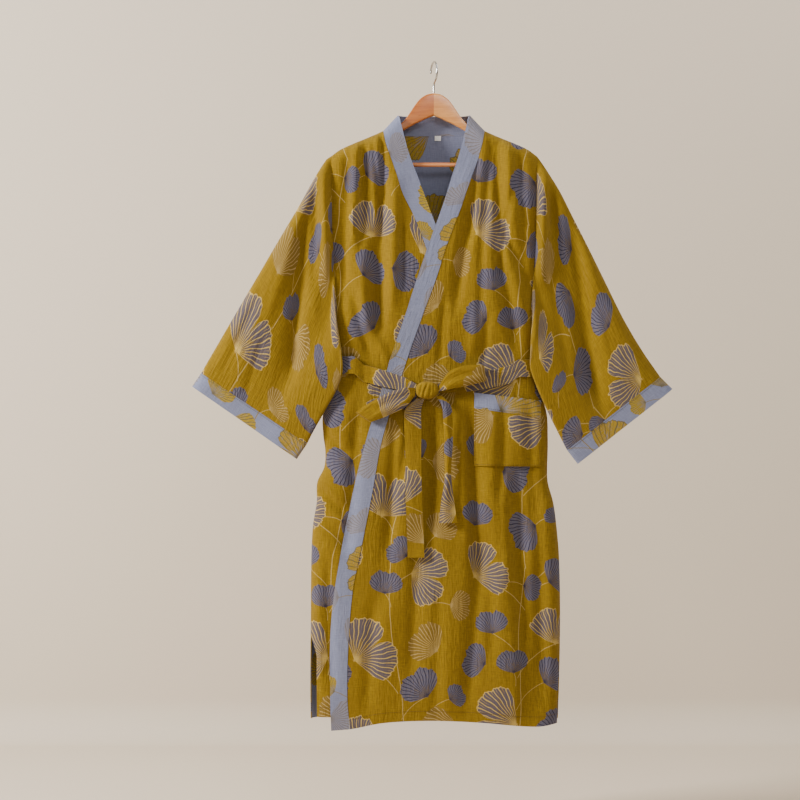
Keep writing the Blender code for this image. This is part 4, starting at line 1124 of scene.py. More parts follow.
def makeBackPanel():
    radius = bodyForm["sideRadius"]
    bend = bodyForm["sideColumns"]
    middle = bodyForm["backColumns"]
    half = bodyForm["shoulderTip"]
    steps = rounded(radius, bend)
    column = np.arange(2 * bend + middle + 1)
    fromLeft = np.minimum(column, bend)
    fromRight = np.minimum(column[-1] - column, bend)
    share = np.clip((column - bend) / middle, 0, 1)

    def placeX(left, right):
        inner = mix(left + radius, right - radius, share)
        x = np.where(column <= bend, left + steps[fromLeft], inner)
        return np.where(column >= bend + middle, right - steps[fromRight], x)

    topX = placeX(-half, half)
    atNeck = np.abs(topX) < bodyForm["neckPoint"]
    neckZ = readTable(backNeck, "seamX", "seamZ", np.abs(topX)) - bodyForm["neckSeam"]
    crest = np.where(atNeck, neckZ, crestZ(topX))
    z, drop = panelHeights(crest, np.full(len(column), bodyForm["backHemZ"]))
    x = np.empty_like(z)
    for row in range(len(z)):
        wide = placeX(sideX(z[row], -1), sideX(z[row], 1))
        x[row] = np.where(drop[row] < bodyForm["crestDrop"], topX, wide)
    points = np.stack([x, backY(x, z, drop), z], axis=2)
    across, _ = gridLengths(points)
    centre = len(column) // 2
    u = across - across[:, centre:centre + 1]
    uv = np.stack([u + backPanel["offset"][0], z + backPanel["offset"][1]], axis=2)
    makeCloth("back_panel", points, uv, mustardLined)


makeBackPanel()
for panelName in frontPanels:
    makeFrontPanel(panelName)
print("body panels hung")


# neckband

def smoothRows(rows, between):
    # more rows on a smooth curve through the given ones
    rows = np.array(rows, float)
    slopes = np.empty_like(rows)
    slopes[1:-1] = (rows[2:] - rows[:-2]) / 2
    slopes[0] = rows[1] - rows[0]
    slopes[-1] = rows[-1] - rows[-2]
    parts = np.linspace(0, 1, between, endpoint=False)[:, None]
    stretches = []
    for i in range(len(rows) - 1):
        rise = rows[i + 1] - rows[i]
        bend = 3 * rise - 2 * slopes[i] - slopes[i + 1]
        twist = slopes[i] + slopes[i + 1] - 2 * rise
        stretches.append(rows[i] + parts * (slopes[i] + parts * (bend + parts * twist)))
    return np.concatenate(stretches + [rows[-1:]])


def clothPlace(points, offset):
    # where each point lies on the flat cloth: running lengths from the first column and row
    run, fall = gridLengths(points)
    down = np.broadcast_to(fall.mean(axis=1, keepdims=True), fall.shape)
    return np.stack([run + offset[0], offset[1] - down], axis=2)


frontBands = {
    "neckband_left": {"side": 1, "band": topBand, "layer": 0, "hem": topHemZ, "offset": (0.215, 0.060)},
    "neckband_right": {"side": -1, "band": underBand, "layer": 1, "hem": underHemZ, "offset": (0.240, 0.460)},
}
bandForm = {
    "columns": 9,
    "topRows": 14,
    "turnRows": 16,
    "hemRows": 10,
    "seam": 0.0004,
    "turnEnd": -0.250,
    "cut": (0.036, 1.17),
    "backCut": (0.036, 0.24),
    "backOffset": (0.220, 0.420),
    "backBetween": 8,
}


def makeFrontBand(name):
    band = frontBands[name]
    side = band["side"]
    table = band["band"]
    layer = band["layer"]
    inboard = -side * bandForm["seam"]
    share = np.linspace(0, 1, bandForm["columns"])

    def straight(seam, free):
        return np.array(seam)[None, :] + (np.array(free) - np.array(seam))[None, :] * share[:, None]

    rows = []
    drops = np.linspace(0, 1, bandForm["topRows"]) ** 2 * bodyForm["crestDrop"]
    for drop in drops:
        z = bodyForm["neckPointZ"] - drop
        seamX = readTable(table, "z", "seam", z) + inboard
        seam = (seamX, float(frontY(seamX, z, layer, drop)), z)
        free = (side * readTable(bandTop, "drop", "x", drop), readTable(bandTop, "drop", "y", drop),
                readTable(bandTop, "drop", "z", drop))
        rows.append(straight(seam, free))
    rows[0][:, 1] -= bodyForm["crownSeam"] / 2
    seamTop = rows[-1][0, 2]
    freeTop = rows[-1][-1, 2]
    freeStep = rows[-1][-1, 0] - readTable(table, "z", "free", freeTop)
    straightY = rows[-1][:, 1]
    levels = []
    for i in range(1, bandForm["turnRows"] + 1):
        turned = i / bandForm["turnRows"]
        seamLevel = mix(seamTop, bandForm["turnEnd"], turned)
        levels.append((seamLevel, mix(freeTop, bandForm["turnEnd"], turned), turned))
    step = bodyForm["stitchGrid"]
    even = np.arange(bandForm["turnEnd"] - step, bodyForm["lowestRow"], -step)
    levels += [(z, z, 1.0) for z in even]
    seamHem = float(band["hem"](readTable(table, "z", "seam", bodyForm["hemZ"])))
    freeHem = float(band["hem"](readTable(table, "z", "free", bodyForm["hemZ"])))
    for i in range(1, bandForm["hemRows"] + 1):
        down = i / bandForm["hemRows"]
        levels.append((mix(even[-1], seamHem, down), mix(even[-1], freeHem, down), 1.0))
    for seamZ, freeZ, turned in levels:
        seamX = readTable(table, "z", "seam", seamZ) + inboard
        freeX = readTable(table, "z", "free", freeZ) + freeStep * (1 - turned)
        x = mix(seamX, freeX, share)
        z = mix(seamZ, freeZ, share)
        y = mix(straightY, frontY(x, z, layer), smooth(turned))
        rows.append(np.stack([x, y, z], axis=1))
    points = np.array(rows)
    makeCloth(name, points, clothPlace(points, band["offset"]), lavenderFolded,
              wall=bodyForm["bandWall"], flip=side < 0)


def makeBackBand():
    half = smoothRows(backNeck["rows"], bandForm["backBetween"])
    whole = np.concatenate([half, half[-2::-1] * np.array([-1, 1, 1, -1, 1, 1])])
    share = np.linspace(0, 1, bandForm["columns"])[None, :, None]
    points = whole[:, None, :3] * (1 - share) + whole[:, None, 3:] * share
    points[0, :, 1] += bodyForm["crownSeam"] / 2
    points[-1, :, 1] += bodyForm["crownSeam"] / 2
    makeCloth("neckband_back", points, clothPlace(points, bandForm["backOffset"]),
              lavenderFolded, wall=bodyForm["bandWall"])


for bandName in frontBands:
    makeFrontBand(bandName)
makeBackBand()
print("neckband sewn on")


# sleeves and cuff bands

sleeveForm = {
    "noseHalf": 0.0035,
    "noseRadius": 0.006,
    "noseLength": 0.040,
    "noseBlend": 0.070,
    "underarmReach": 0.085,
    "foldStart": 0.05,
    "topRadius": 0.024,
    "seam": 0.0004,
    "lap": 0.002,
    "betweenRings": 7,
    "faceColumns": 52,
    "cuffGap": 0.0004,
    "cuffRows": 9,
    "topColumns": 8,
    "noseColumns": 4,
    "armholeRows": 4,
    "sharedFolds": 2,          # the first folds of a sleeve's front are its back's too
    "cut": (0.60, 0.47),
    "area": 0.165,
    "cuffCut": (0.50, 0.034),
}

rightSleeve = {
    "side": -1,
    "nodes": ("right_sleeve", "right_cuff_band"),
    "offset": (0.060, 0.250),
    # topX topZ underX underZ noseY half out
    "rings": [
        (-0.1990, -0.1820, -0.1830, -0.4700, -0.0150, 0.0100, 0.0100),
        (-0.2120, -0.2020, -0.1780, -0.5030, -0.0180, 0.0125, 0.0140),
        (-0.2300, -0.2330, -0.1715, -0.5400, -0.0225, 0.0130, 0.0140),
        (-0.2530, -0.2740, -0.1700, -0.5750, -0.0225, 0.0130, 0.0120),
        (-0.2880, -0.3320, -0.1800, -0.6060, -0.0225, 0.0130, 0.0070),
        (-0.3270, -0.3980, -0.1970, -0.6370, -0.0210, 0.0130, 0.0030),
        (-0.3650, -0.4620, -0.2130, -0.6650, -0.0190, 0.0130, 0.0000),
        (-0.4000, -0.5220, -0.2260, -0.6880, -0.0160, 0.0125, 0.0000),
        (-0.4320, -0.5770, -0.2360, -0.7080, -0.0140, 0.0120, 0.0000),
    ],
    "cuff": (-0.4490, -0.6020, -0.2550, -0.7360, -0.0130, 0.0120, 0.0000),
    "folds": {"rows": [
        (-0.225, -0.260, -0.285, -0.620, 0.018, 0.0060),
        (-0.270, -0.330, -0.370, -0.600, 0.024, -0.0035),
        (-0.203, -0.205, -0.200, -0.400, 0.009, -0.0080),
        (-0.219, -0.230, -0.220, -0.420, 0.009, 0.0050),
        (-0.244, -0.300, -0.262, -0.590, 0.010, 0.0070),
        (-0.222, -0.240, -0.268, -0.420, 0.008, 0.0030),
        (-0.240, -0.270, -0.310, -0.480, 0.008, -0.0024),
        (-0.214, -0.330, -0.222, -0.470, 0.007, -0.0022),
        (-0.235, -0.380, -0.272, -0.560, 0.009, 0.0026),
        (-0.300, -0.370, -0.370, -0.530, 0.008, 0.0026),
        (-0.330, -0.420, -0.400, -0.560, 0.008, -0.0020),
        (-0.250, -0.520, -0.290, -0.660, 0.008, 0.0026),
        (-0.320, -0.520, -0.350, -0.620, 0.007, 0.0022),
    ]},
    "backFolds": {"rows": [
        (-0.215, -0.240, -0.260, -0.500, 0.010, -0.0030),
        (-0.250, -0.320, -0.320, -0.580, 0.010, -0.0026),
        (-0.290, -0.400, -0.350, -0.600, 0.010, 0.0024),
    ]},
}

leftSleeve = {
    "side": 1,
    "nodes": ("left_sleeve", "left_cuff_band"),
    "offset": (0.250, 0.180),
    # topX topZ underX underZ noseY half out
    "rings": [
        (0.1990, -0.1880, 0.1830, -0.4820, -0.0150, 0.0100, 0.0100),
        (0.2120, -0.2080, 0.1800, -0.5120, -0.0180, 0.0125, 0.0140),
        (0.2330, -0.2420, 0.1785, -0.5420, -0.0225, 0.0130, 0.0140),
        (0.2560, -0.2870, 0.1785, -0.5680, -0.0225, 0.0130, 0.0120),
        (0.2860, -0.3450, 0.1880, -0.5960, -0.0225, 0.0130, 0.0070),
        (0.3190, -0.4110, 0.1990, -0.6220, -0.0210, 0.0130, 0.0030),
        (0.3510, -0.4750, 0.2120, -0.6500, -0.0190, 0.0130, 0.0000),
        (0.3850, -0.5330, 0.2290, -0.6840, -0.0160, 0.0125, 0.0000),
        (0.4200, -0.5840, 0.2470, -0.7190, -0.0140, 0.0120, 0.0000),
    ],
    "cuff": (0.4430, -0.6070, 0.2670, -0.7450, -0.0130, 0.0120, 0.0000),
    "folds": {"rows": [
        (0.225, -0.240, 0.300, -0.640, 0.024, 0.0055),
        (0.275, -0.350, 0.350, -0.600, 0.022, -0.0040),
        (0.203, -0.210, 0.200, -0.400, 0.009, -0.0080),
        (0.220, -0.235, 0.222, -0.420, 0.009, 0.0045),
        (0.252, -0.300, 0.300, -0.620, 0.018, 0.0100),
        (0.216, -0.250, 0.244, -0.440, 0.009, 0.0034),
        (0.236, -0.280, 0.268, -0.450, 0.008, -0.0026),
        (0.262, -0.330, 0.298, -0.500, 0.009, 0.0030),
        (0.224, -0.420, 0.250, -0.600, 0.010, 0.0030),
        (0.300, -0.420, 0.340, -0.570, 0.009, 0.0028),
        (0.330, -0.460, 0.390, -0.590, 0.008, -0.0022),
        (0.290, -0.540, 0.320, -0.680, 0.009, 0.0026),
    ]},
    "backFolds": {"rows": [
        (0.220, -0.250, 0.265, -0.510, 0.010, -0.0030),
        (0.255, -0.330, 0.325, -0.590, 0.010, -0.0026),
        (0.300, -0.420, 0.350, -0.610, 0.010, 0.0024),
    ]},
}


def sleeveRing(ring, folds, backFolds):
    # down the front from the upper edge to the underarm edge, and up the back to where it began
    topX, topZ, underX, underZ, noseY, half, out = ring
    length = math.hypot(topX - underX, topZ - underZ)
    start = sleeveForm["topRadius"]
    end = length - sleeveForm["noseRadius"]
    down = np.concatenate([
        rounded(start, sleeveForm["topColumns"]),
        np.linspace(start, end, sleeveForm["faceColumns"])[1:],
        length - rounded(sleeveForm["noseRadius"], sleeveForm["noseColumns"])[::-1][1:],
    ])
    faces = []
    for face, creases in ((-1, folds), (1, backFolds)):
        share = down / length
        x = mix(topX, underX, share)
        z = mix(topZ, underZ, share)
        left = length - down
        spread = smooth((left - sleeveForm["noseLength"]) / sleeveForm["noseBlend"])
        centre = mix(noseY, sweep(x, z), spread)
        thick = mix(min(sleeveForm["noseHalf"], half), half, spread) * roundIn(left, sleeveForm["noseRadius"])
        thick = thick * roundIn(down, start)
        eased = spread * roundIn(down, sleeveForm["foldStart"])
        if face > 0:
            reach = sleeveForm["underarmReach"]
            bulge = np.minimum(np.abs(left - reach) / reach, 1.0)
            x = x + np.sign(topX) * out * (1 - bulge**2) ** 2
        common = foldDepth({"rows": folds["rows"][:sleeveForm["sharedFolds"]]}, x, z)
        own = foldDepth({"rows": creases["rows"][sleeveForm["sharedFolds"] if face < 0 else 0:]}, x, z)
        y = centre + face * thick + (common + own) * eased
        faces.append(np.stack([x, y, z], axis=1))
    front, back = faces
    return np.concatenate([front, back[-2::-1]])


def armholeRing(side, ring, count):
    top = ring[0]
    under = ring[count]
    crest = float(crestZ(bodyForm["shoulderTip"]))
    share = (ring[:, 2] - under[2]) / (top[2] - under[2])
    z = mix(bodyForm["armholeBottom"], crest, share)
    x = sideX(z, side) + side * sleeveForm["seam"] * mix(bodyForm["armholeFoot"], 1.0, armhole(z))
    half = bodyForm["armholeHalf"] * armhole(z) * roundIn(crest - z, bodyForm["crestRadius"])
    face = np.where(np.arange(len(ring)) <= count, -1, 1)
    y = sweep(x, z) + face * half
    # the front edge laps over the body's edge, and never turns back under the sleeve
    lapped = np.minimum(side * x, side * ring[:, 0] - sleeveForm["lap"])
    turned = (face < 0) & (lapped < side * x)
    x = np.where(turned, side * lapped, x)
    y = np.where(turned, ring[:, 1] + sleeveForm["lap"], y)
    return np.stack([x, y, z], axis=1)


def makeSleeve(cut):
    side = cut["side"]
    sleeve, cuffBand = cut["nodes"]
    finer = smoothRows(cut["rings"], sleeveForm["betweenRings"])
    rings = [sleeveRing(ring, cut["folds"], cut["backFolds"]) for ring in finer]
    count = (len(rings[0]) - 1) // 2
    first = armholeRing(side, rings[0], count)
    rows = sleeveForm["armholeRows"]
    rings = [mix(first, rings[0], i / rows) for i in range(rows)] + rings
    points = np.array(rings)
    makeCloth(sleeve, points, clothPlace(points, cut["offset"]), mustardLined,
              around=True, flip=side < 0)

    last = rings[-1]
    cuffEnd = sleeveRing(cut["cuff"], cut["folds"], cut["backFolds"])
    way = cuffEnd - last
    way = way / np.linalg.norm(way, axis=1, keepdims=True)
    seam = last + way * sleeveForm["cuffGap"]
    rows = sleeveForm["cuffRows"]
    cuff = np.array([mix(seam, cuffEnd, i / rows) for i in range(rows + 1)])
    makeCloth(cuffBand, cuff, clothPlace(cuff, cut["offset"][::-1]), lavenderFolded,
              around=True, flip=side < 0)


makeSleeve(rightSleeve)
makeSleeve(leftSleeve)
print("sleeves set in")


# pocket

pocketForm = {
    "left": 0.0745,
    "right": 0.1980,
    "topZ": (-0.6135, -0.6280),
    "bandZ": (-0.6420, -0.6600),
    "bottomZ": (-0.7490, -0.7500),
    "lift": 0.0032,
    "seam": 0.0004,
    "gape": 0.0018,
    "gapeReach": 1.3,          # the gape closes before the pocket's foot
    "columns": 25,
    "bandRows": 6,
    "bagRows": 20,
    "bandOffset": (0.010, 0.330),
    "bagOffset": (0.215, 0.190),
    "bandCut": (0.125, 0.031),
    "bagCut": (0.125, 0.099),
}


def makePocket():
    share = np.linspace(0, 1, pocketForm["columns"])
    x = mix(pocketForm["left"], pocketForm["right"], share)

    def rowsBetween(upper, lower, count):
        rows = []
        for down in np.linspace(0, 1, count + 1):
            z = mix(mix(upper[0], upper[1], share), mix(lower[0], lower[1], share), down)
            fromTop = (pocketForm["topZ"][0] - z) / (pocketForm["topZ"][0] - pocketForm["bottomZ"][0])
            gape = pocketForm["gape"] * np.sin(np.pi * share) * smooth(1 - fromTop * pocketForm["gapeReach"])
            rows.append(np.stack([x, frontY(x, z, 0) - pocketForm["lift"] - gape, z], axis=1))
        return np.array(rows)

    band = rowsBetween(pocketForm["topZ"], pocketForm["bandZ"], pocketForm["bandRows"])
    below = tuple(z - pocketForm["seam"] for z in pocketForm["bandZ"])
    bag = rowsBetween(below, pocketForm["bottomZ"], pocketForm["bagRows"])
    makeCloth("pocket_band", band, clothPlace(band, pocketForm["bandOffset"]),
              lavenderFolded, flip=True)
    makeCloth("pocket", bag, clothPlace(bag, pocketForm["bagOffset"]),
              mustardLined, flip=True)


makePocket()
print("pocket sewn on")


# belt, bow and knot

beltForm = {
    "leftStrand": [
        (-0.0331, -0.6050, 0.0080),
        (-0.0570, -0.5970, 0.0125),
        (-0.0960, -0.5870, 0.0155),
        (-0.1310, -0.5770, 0.0160),
    ],
    "rightStrand": [
        (0.0071, -0.6060, 0.0080),
        (0.0310, -0.6000, 0.0130),
        (0.0650, -0.5950, 0.0160),
        (0.1000, -0.5890, 0.0165),
        (0.1400, -0.5800, 0.0165),
    ],
    "sideZ": (-0.5630, -0.5690),
    "backZ": -0.5600,
    "half": 0.0160,
    "lift": 0.0036,
    "angles": (78, 60, 40, 20, 0, -20, -40, -60, -78),
    "backSteps": 24,
    "pull": 0.0055,
    "pullReach": 0.040,
    "step": 0.004,
    "stepEase": 0.025,
    "strandBetween": 5,
    "between": 3,
    "columns": 9,
    # a soft lengthwise crease that wanders: its depth, its width, and each wander's size, rate and start
    "crease": 0.0009,
    "creaseWidth": 0.28,
    "wander": ((0.35, 31, 0), (0.25, 13, 1)),
    "creaseEase": 0.02,
    "offset": (0.300, 0.210),
    "cut": (0.033, 0.82),
}


def beltY(x, z, half):
    heights = (z - half, z, z + half)
    edge = readTable(topBand, "z", "free", z)
    covered = smooth((edge - beltForm["step"] - x) / beltForm["stepEase"])
    upper = np.min([frontY(x, height, 0) for height in heights], axis=0)
    under = np.min([frontY(x, height, 1) for height in heights], axis=0)
    return mix(upper, under, covered) - beltForm["lift"]


def makeBelt():
    centres = []

    def addStrand(table, backwards=False):
        finer = smoothRows(table, beltForm["strandBetween"])
        end = table[0][0]
        stations = []
        for x, z, half in finer:
            pull = beltForm["pull"] * smooth(1 - abs(x - end) / beltForm["pullReach"])
            stations.append((x, float(beltY(x, z, half) - pull), z, half))
        centres.extend(stations[::-1] if backwards else stations)

    def addSide(side):
        z = beltForm["sideZ"][0 if side < 0 else 1]
        half = beltForm["half"]
        heights = (z - half, z, z + half)
        reach = bodyForm["sideRadius"]
        middle = side * max(abs(float(sideX(height, side))) for height in heights) - side * reach
        for angle in beltForm["angles"] if side < 0 else beltForm["angles"][::-1]:
            turn = math.radians(angle)
            face = "front" if angle > 0 else "back"
            depth = max(float(readTable(sideEdges, "z", face, height)) for height in heights)
            depth += beltForm["lift"]
            height = mix(beltForm["backZ"], z, smooth((angle + 90) / 180))
            x = middle + side * (reach + beltForm["lift"]) * math.cos(turn)
            centres.append((x, -depth * math.sin(turn), float(height), half))

    addStrand(beltForm["leftStrand"])
    addSide(-1)
    z = beltForm["backZ"]
    half = beltForm["half"]
    left = float(sideX(z, -1)) + bodyForm["sideRadius"]
    right = float(sideX(z, 1)) - bodyForm["sideRadius"]
    for i in range(1, beltForm["backSteps"]):
        x = mix(left, right, i / beltForm["backSteps"])
        surface = max(float(backY(x, height)) for height in (z - half, z, z + half))
        centres.append((x, surface + beltForm["lift"], z, half))
    addSide(1)
    addStrand(beltForm["rightStrand"], backwards=True)

    finer = smoothRows(centres, beltForm["between"])
    share = np.linspace(1, -1, beltForm["columns"])
    along = np.zeros(len(finer))
    along[1:] = np.cumsum(np.linalg.norm(np.diff(finer[:, :3], axis=0), axis=1))
    run = np.gradient(finer[:, :2], axis=0)
    outward = np.stack([run[:, 1], -run[:, 0]], axis=1) / np.linalg.norm(run, axis=1, keepdims=True)
    # beside the crease the belt stands a little off the robe, and its edges lie closer
    wander = sum(size * np.sin(along * rate + start) for size, rate, start in beltForm["wander"])
    lean = share[None, :] - wander[:, None]
    raised = beltForm["crease"] * (1 - np.exp(-((lean / beltForm["creaseWidth"]) ** 2)))
    raised = raised * (1 - share[None, :] ** 4)
    near = np.minimum(np.abs(along - along[0]), np.abs(along[-1] - along))
    raised = raised * smooth(near[:, None] / beltForm["creaseEase"] + 0.2)
    points = np.empty((len(finer), len(share), 3))
    points[:, :, 0] = finer[:, None, 0] + outward[:, None, 0] * raised
    points[:, :, 1] = finer[:, None, 1] + outward[:, None, 1] * raised
    points[:, :, 2] = finer[:, None, 2] + finer[:, None, 3] * share[None, :]
    makeCloth("belt_waist", points, clothPlace(points, beltForm["offset"]), mustardFolded,
              wall=bodyForm["beltWall"])


makeBelt()


knotForm = {
    "centre": (-0.0130, -0.0345, -0.6090),
    "size": (0.0440, 0.0205, 0.0330),
    "cage": 1.18,              # a cube this much larger softens down to the size
    "softenings": 5,
    # centre, width and depth of each pleat
    "pleats": (
        (-0.0120, 0.0026, 0.0014),
        (-0.0035, 0.0022, 0.0022),
        (0.0055, 0.0028, 0.0016),
        (0.0130, 0.0022, 0.0012),
    ),
    "fan": 0.20,               # how much the pleats fan out downwards
    "slant": 0.22,
    "wander": 0.0010,
    "bulge": 0.0012,
    "bulgeTall": 0.005,
    "offset": (0.075, 0.655),
}

bowForm = {
    "across": 11,
    "between": 6,
    "billow": 0.0030,
    "pleat": 0.0014,
    "backPleat": 0.3,          # the back's pleats, in parts of the front's
    "cut": (0.033, 0.22),
}

# rows: topX topZ lowX lowZ frontY backY
bowLoops = {
    "bow_loop_right": {"offset": (0.020, 0.200), "rows": [
        (-0.0356, -0.6045, -0.0350, -0.6180, -0.0375, -0.0335),
        (-0.0560, -0.6050, -0.0540, -0.6400, -0.0420, -0.0320),
        (-0.0830, -0.6130, -0.0780, -0.6520, -0.0425, -0.0315),
        (-0.1130, -0.6290, -0.1000, -0.6615, -0.0415, -0.0315),
        (-0.1400, -0.6460, -0.1130, -0.6660, -0.0385, -0.0320),
        (-0.1440, -0.6490, -0.1165, -0.6680, -0.0355, -0.0345),
    ]},
    "bow_loop_left": {"offset": (0.160, 0.420), "rows": [
        (0.0086, -0.6010, 0.0088, -0.6110, -0.0360, -0.0320),
        (0.0290, -0.5740, 0.0310, -0.6060, -0.0420, -0.0290),
        (0.0560, -0.5640, 0.0590, -0.6010, -0.0420, -0.0280),
        (0.0840, -0.5630, 0.0870, -0.5940, -0.0400, -0.0290),
        (0.0910, -0.5640, 0.0940, -0.5925, -0.0355, -0.0330),
    ]},
}


def makeBowLoop(name):
    loop = bowLoops[name]
    table = np.array(loop["rows"])
    side = math.copysign(1, table[0, 0] - knotForm["centre"][0])
    there = table[:, [0, 1, 2, 3, 4]]
    back = table[::-1][:, [0, 1, 2, 3, 5]]
    finer = smoothRows(np.concatenate([there, back]), bowForm["between"])
    share = np.linspace(0, 1, bowForm["across"])[None, :]
    half = (len(finer) - 1) / 2
    place = np.arange(len(finer))
    out = 1 - np.abs(place - half) / half          # 0 at the knot, 1 at the loop's end
    front = place < half
    billow = bowForm["billow"] * np.sin(np.pi * out)[:, None] * np.sin(np.pi * share)
    fade = smooth((1 - out) * 1.6) * smooth(out * 6)
    pleats = np.sin(share * 3 * np.pi + 0.6) * bowForm["pleat"] * fade[:, None]
    y = finer[:, 4][:, None] + np.where(front[:, None], -billow - pleats, bowForm["backPleat"] * pleats)
    x = mix(finer[:, 0][:, None], finer[:, 2][:, None], share)
    z = mix(finer[:, 1][:, None], finer[:, 3][:, None], share)
    points = np.stack([x, y, z], axis=2)
    makeCloth(name, points, clothPlace(points, loop["offset"]), mustardFolded,
              flip=side < 0)


tailForm = {
    "across": 9,
    "between": 8,
    "fold": ((0.0, 0.0), (0.33, 1.0), (0.66, 0.6), (1.0, 0.0)),
    "soften": 0.06,
    "wave": 0.0011,
}

# rows: z left right y fold
beltTails = {
    "belt_tail_right": {"offset": (0.070, 0.330), "cut": (0.031, 0.31), "rows": [
        (-0.6242, -0.0320, -0.0175, -0.0306, 0.0),
        (-0.6460, -0.0540, -0.0240, -0.0300, 0.0010),
        (-0.6900, -0.0545, -0.0235, -0.0315, 0.0020),
        (-0.7400, -0.0530, -0.0240, -0.0325, 0.0025),
        (-0.7900, -0.0530, -0.0230, -0.0325, 0.0020),
        (-0.8400, -0.0515, -0.0210, -0.0325, 0.0010),
        (-0.8800, -0.0500, -0.0190, -0.0325, 0.0005),
        (-0.9180, -0.0490, -0.0180, -0.0325, 0.0),
    ]},
    "belt_tail_left": {"offset": (0.330, 0.400), "cut": (0.028, 0.25), "rows": [
        (-0.6198, 0.0040, 0.0150, -0.0350, 0.0008),
        (-0.6400, 0.0150, 0.0310, -0.0360, 0.0030),
        (-0.6700, 0.0170, 0.0340, -0.0350, 0.0040),
        (-0.7100, 0.0185, 0.0340, -0.0350, 0.0040),
        (-0.7500, 0.0200, 0.0310, -0.0350, 0.0040),
        (-0.7800, 0.0190, 0.0320, -0.0350, 0.0040),
        (-0.8150, 0.0130, 0.0370, -0.0345, 0.0045),
        (-0.8540, 0.0095, 0.0425, -0.0345, 0.0050),
    ]},
}


def makeTail(name):
    tail = beltTails[name]
    finer = smoothRows(tail["rows"], tailForm["between"])
    z, left, right, y, fold = [finer[:, i][:, None] for i in range(5)]
    share = np.linspace(0, 1, tailForm["across"])[None, :]
    places, rises = zip(*tailForm["fold"])
    shifts = (0, tailForm["soften"], -tailForm["soften"])
    rise = sum(np.interp(share + shift, places, rises) for shift in shifts) / 3
    down = (finer[0, 0] - z) / (finer[0, 0] - finer[-1, 0])
    # a lengthwise fold, and a slow wave that shows the strip isn't pressed flat
    wave = tailForm["wave"] * np.sin(down * 11 + share * 2.4) * smooth(down * 5)
    x = mix(left, right, share)
    points = np.stack([x, y - fold * rise - wave, np.broadcast_to(z, x.shape)], axis=2)
    makeCloth(name, points, clothPlace(points, tail["offset"]), mustardFolded,
              flip=True)


for loopName in bowLoops:
    makeBowLoop(loopName)
for tailName in beltTails:
    makeTail(tailName)


def makeKnot():
    bpy.ops.mesh.primitive_cube_add(size=1, location=(0, 0, 0))
    piece = bpy.context.object
    piece.name = "belt_knot_cloth"
    piece.scale = [side * knotForm["cage"] for side in knotForm["size"]]
    bpy.ops.object.transform_apply(location=False, rotation=False, scale=True)
    soft = piece.modifiers.new("soft", "SUBSURF")
    soft.levels = knotForm["softenings"]
    soft.render_levels = knotForm["softenings"]
    bpy.ops.object.modifier_apply(modifier="soft")
    mesh = piece.data
    places = np.empty(len(mesh.vertices) * 3, np.float32)
    mesh.vertices.foreach_get("co", places)
    places = places.reshape(-1, 3).astype(float)
    x, y, z = places.T
    halfDepth = knotForm["size"][1] / 2
    halfTall = knotForm["size"][2] / 2
    front = smooth(-y / halfDepth + 0.3)
    # pleats run up and down the wrapped turn and fan out towards its lower edge
    for centre, width, depth in knotForm["pleats"]:
        line = centre * (1.0 - knotForm["fan"] * z / halfTall) + knotForm["slant"] * z
        line = line + knotForm["wander"] * np.sin(z * 190 + centre * 300)
        y = y + depth * front * np.exp(-(((x - line) / width) ** 2)) * smooth(1.25 - np.abs(z) / halfTall)
    # the turn's lower edge bulges
    y = y - knotForm["bulge"] * front * np.exp(-(((z + halfTall * 0.55) / knotForm["bulgeTall"]) ** 2))
    places = np.stack([x, y, z], axis=1) + np.array(knotForm["centre"])
    mesh.vertices.foreach_set("co", places.astype(np.float32).ravel())
    mesh.uv_layers.remove(mesh.uv_layers[0])
    layer = mesh.uv_layers.new(name="clothUv")
    corners = np.empty(len(mesh.loops), np.int32)
    mesh.loops.foreach_get("vertex_index", corners)
    flat = places[corners][:, [0, 2]] + np.array(knotForm["offset"])
    layer.data.foreach_set("uv", flat.astype(np.float32).ravel())
    mesh.materials.append(mustardCloth)
    mesh.shade_smooth()
    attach(piece, "root")
    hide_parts("belt_knot")


makeKnot()
print("belt tied")


# label: bare white tape

labelForm = {
    "x": (0.0020, 0.0135),
    "z": (-0.1336, -0.1430),
    "offset": 0.0026,
    "sag": 0.0007,
    "wall": 0.0006,
    "columns": 9,
    "rows": 8,
    "cut": (0.0115, 0.0100),
}


def makeLabelMaterial():
    # fine close-woven tape: pale, a little shine, ribs across about 1 mm apart
    material, tree, shader = newMaterial("whiteLabelTape", 0.6)
    place = addNode(tree, "ShaderNodeUVMap", {"uv_map": "clothUv"}).outputs[0]
    ribs = addNode(tree, "ShaderNodeTexWave", {"bands_direction": "Y"}, {
        "Vector": place, "Scale": 300.0, "Distortion": 0.5,
    })
    tone = addNode(tree, "ShaderNodeMixRGB", None, {
        0: ribs.outputs[1], 1: linearColour("#E4E2DE"), 2: linearColour("#F0EEEA"),
    })
    tree.links.new(tone.outputs[0], shader.inputs["Base Color"])
    bump = addNode(tree, "ShaderNodeBump", None, {
        "Height": ribs.outputs[1], "Strength": 0.3, "Distance": 0.0002,
    })
    tree.links.new(bump.outputs[0], shader.inputs["Normal"])
    return material


def makeLabel():
    share = np.linspace(0, 1, labelForm["columns"])[None, :]
    down = np.linspace(0, 1, labelForm["rows"])[:, None]
    x = mix(labelForm["x"][0], labelForm["x"][1], share) + 0 * down
    z = mix(labelForm["z"][0], labelForm["z"][1], down) + 0 * share
    y = backY(x, np.full_like(x, bodyForm["backNeckZ"]), 0.0) - labelForm["offset"]
    y = y - labelForm["sag"] * down * np.sin(np.pi * share)
    points = np.stack([x, y, z], axis=2)
    tape = makeLabelMaterial()
    makeCloth("size_label", points, clothPlace(points, (0, 0)), (tape, tape, "label_cloth"),
              wall=labelForm["wall"], flip=True)


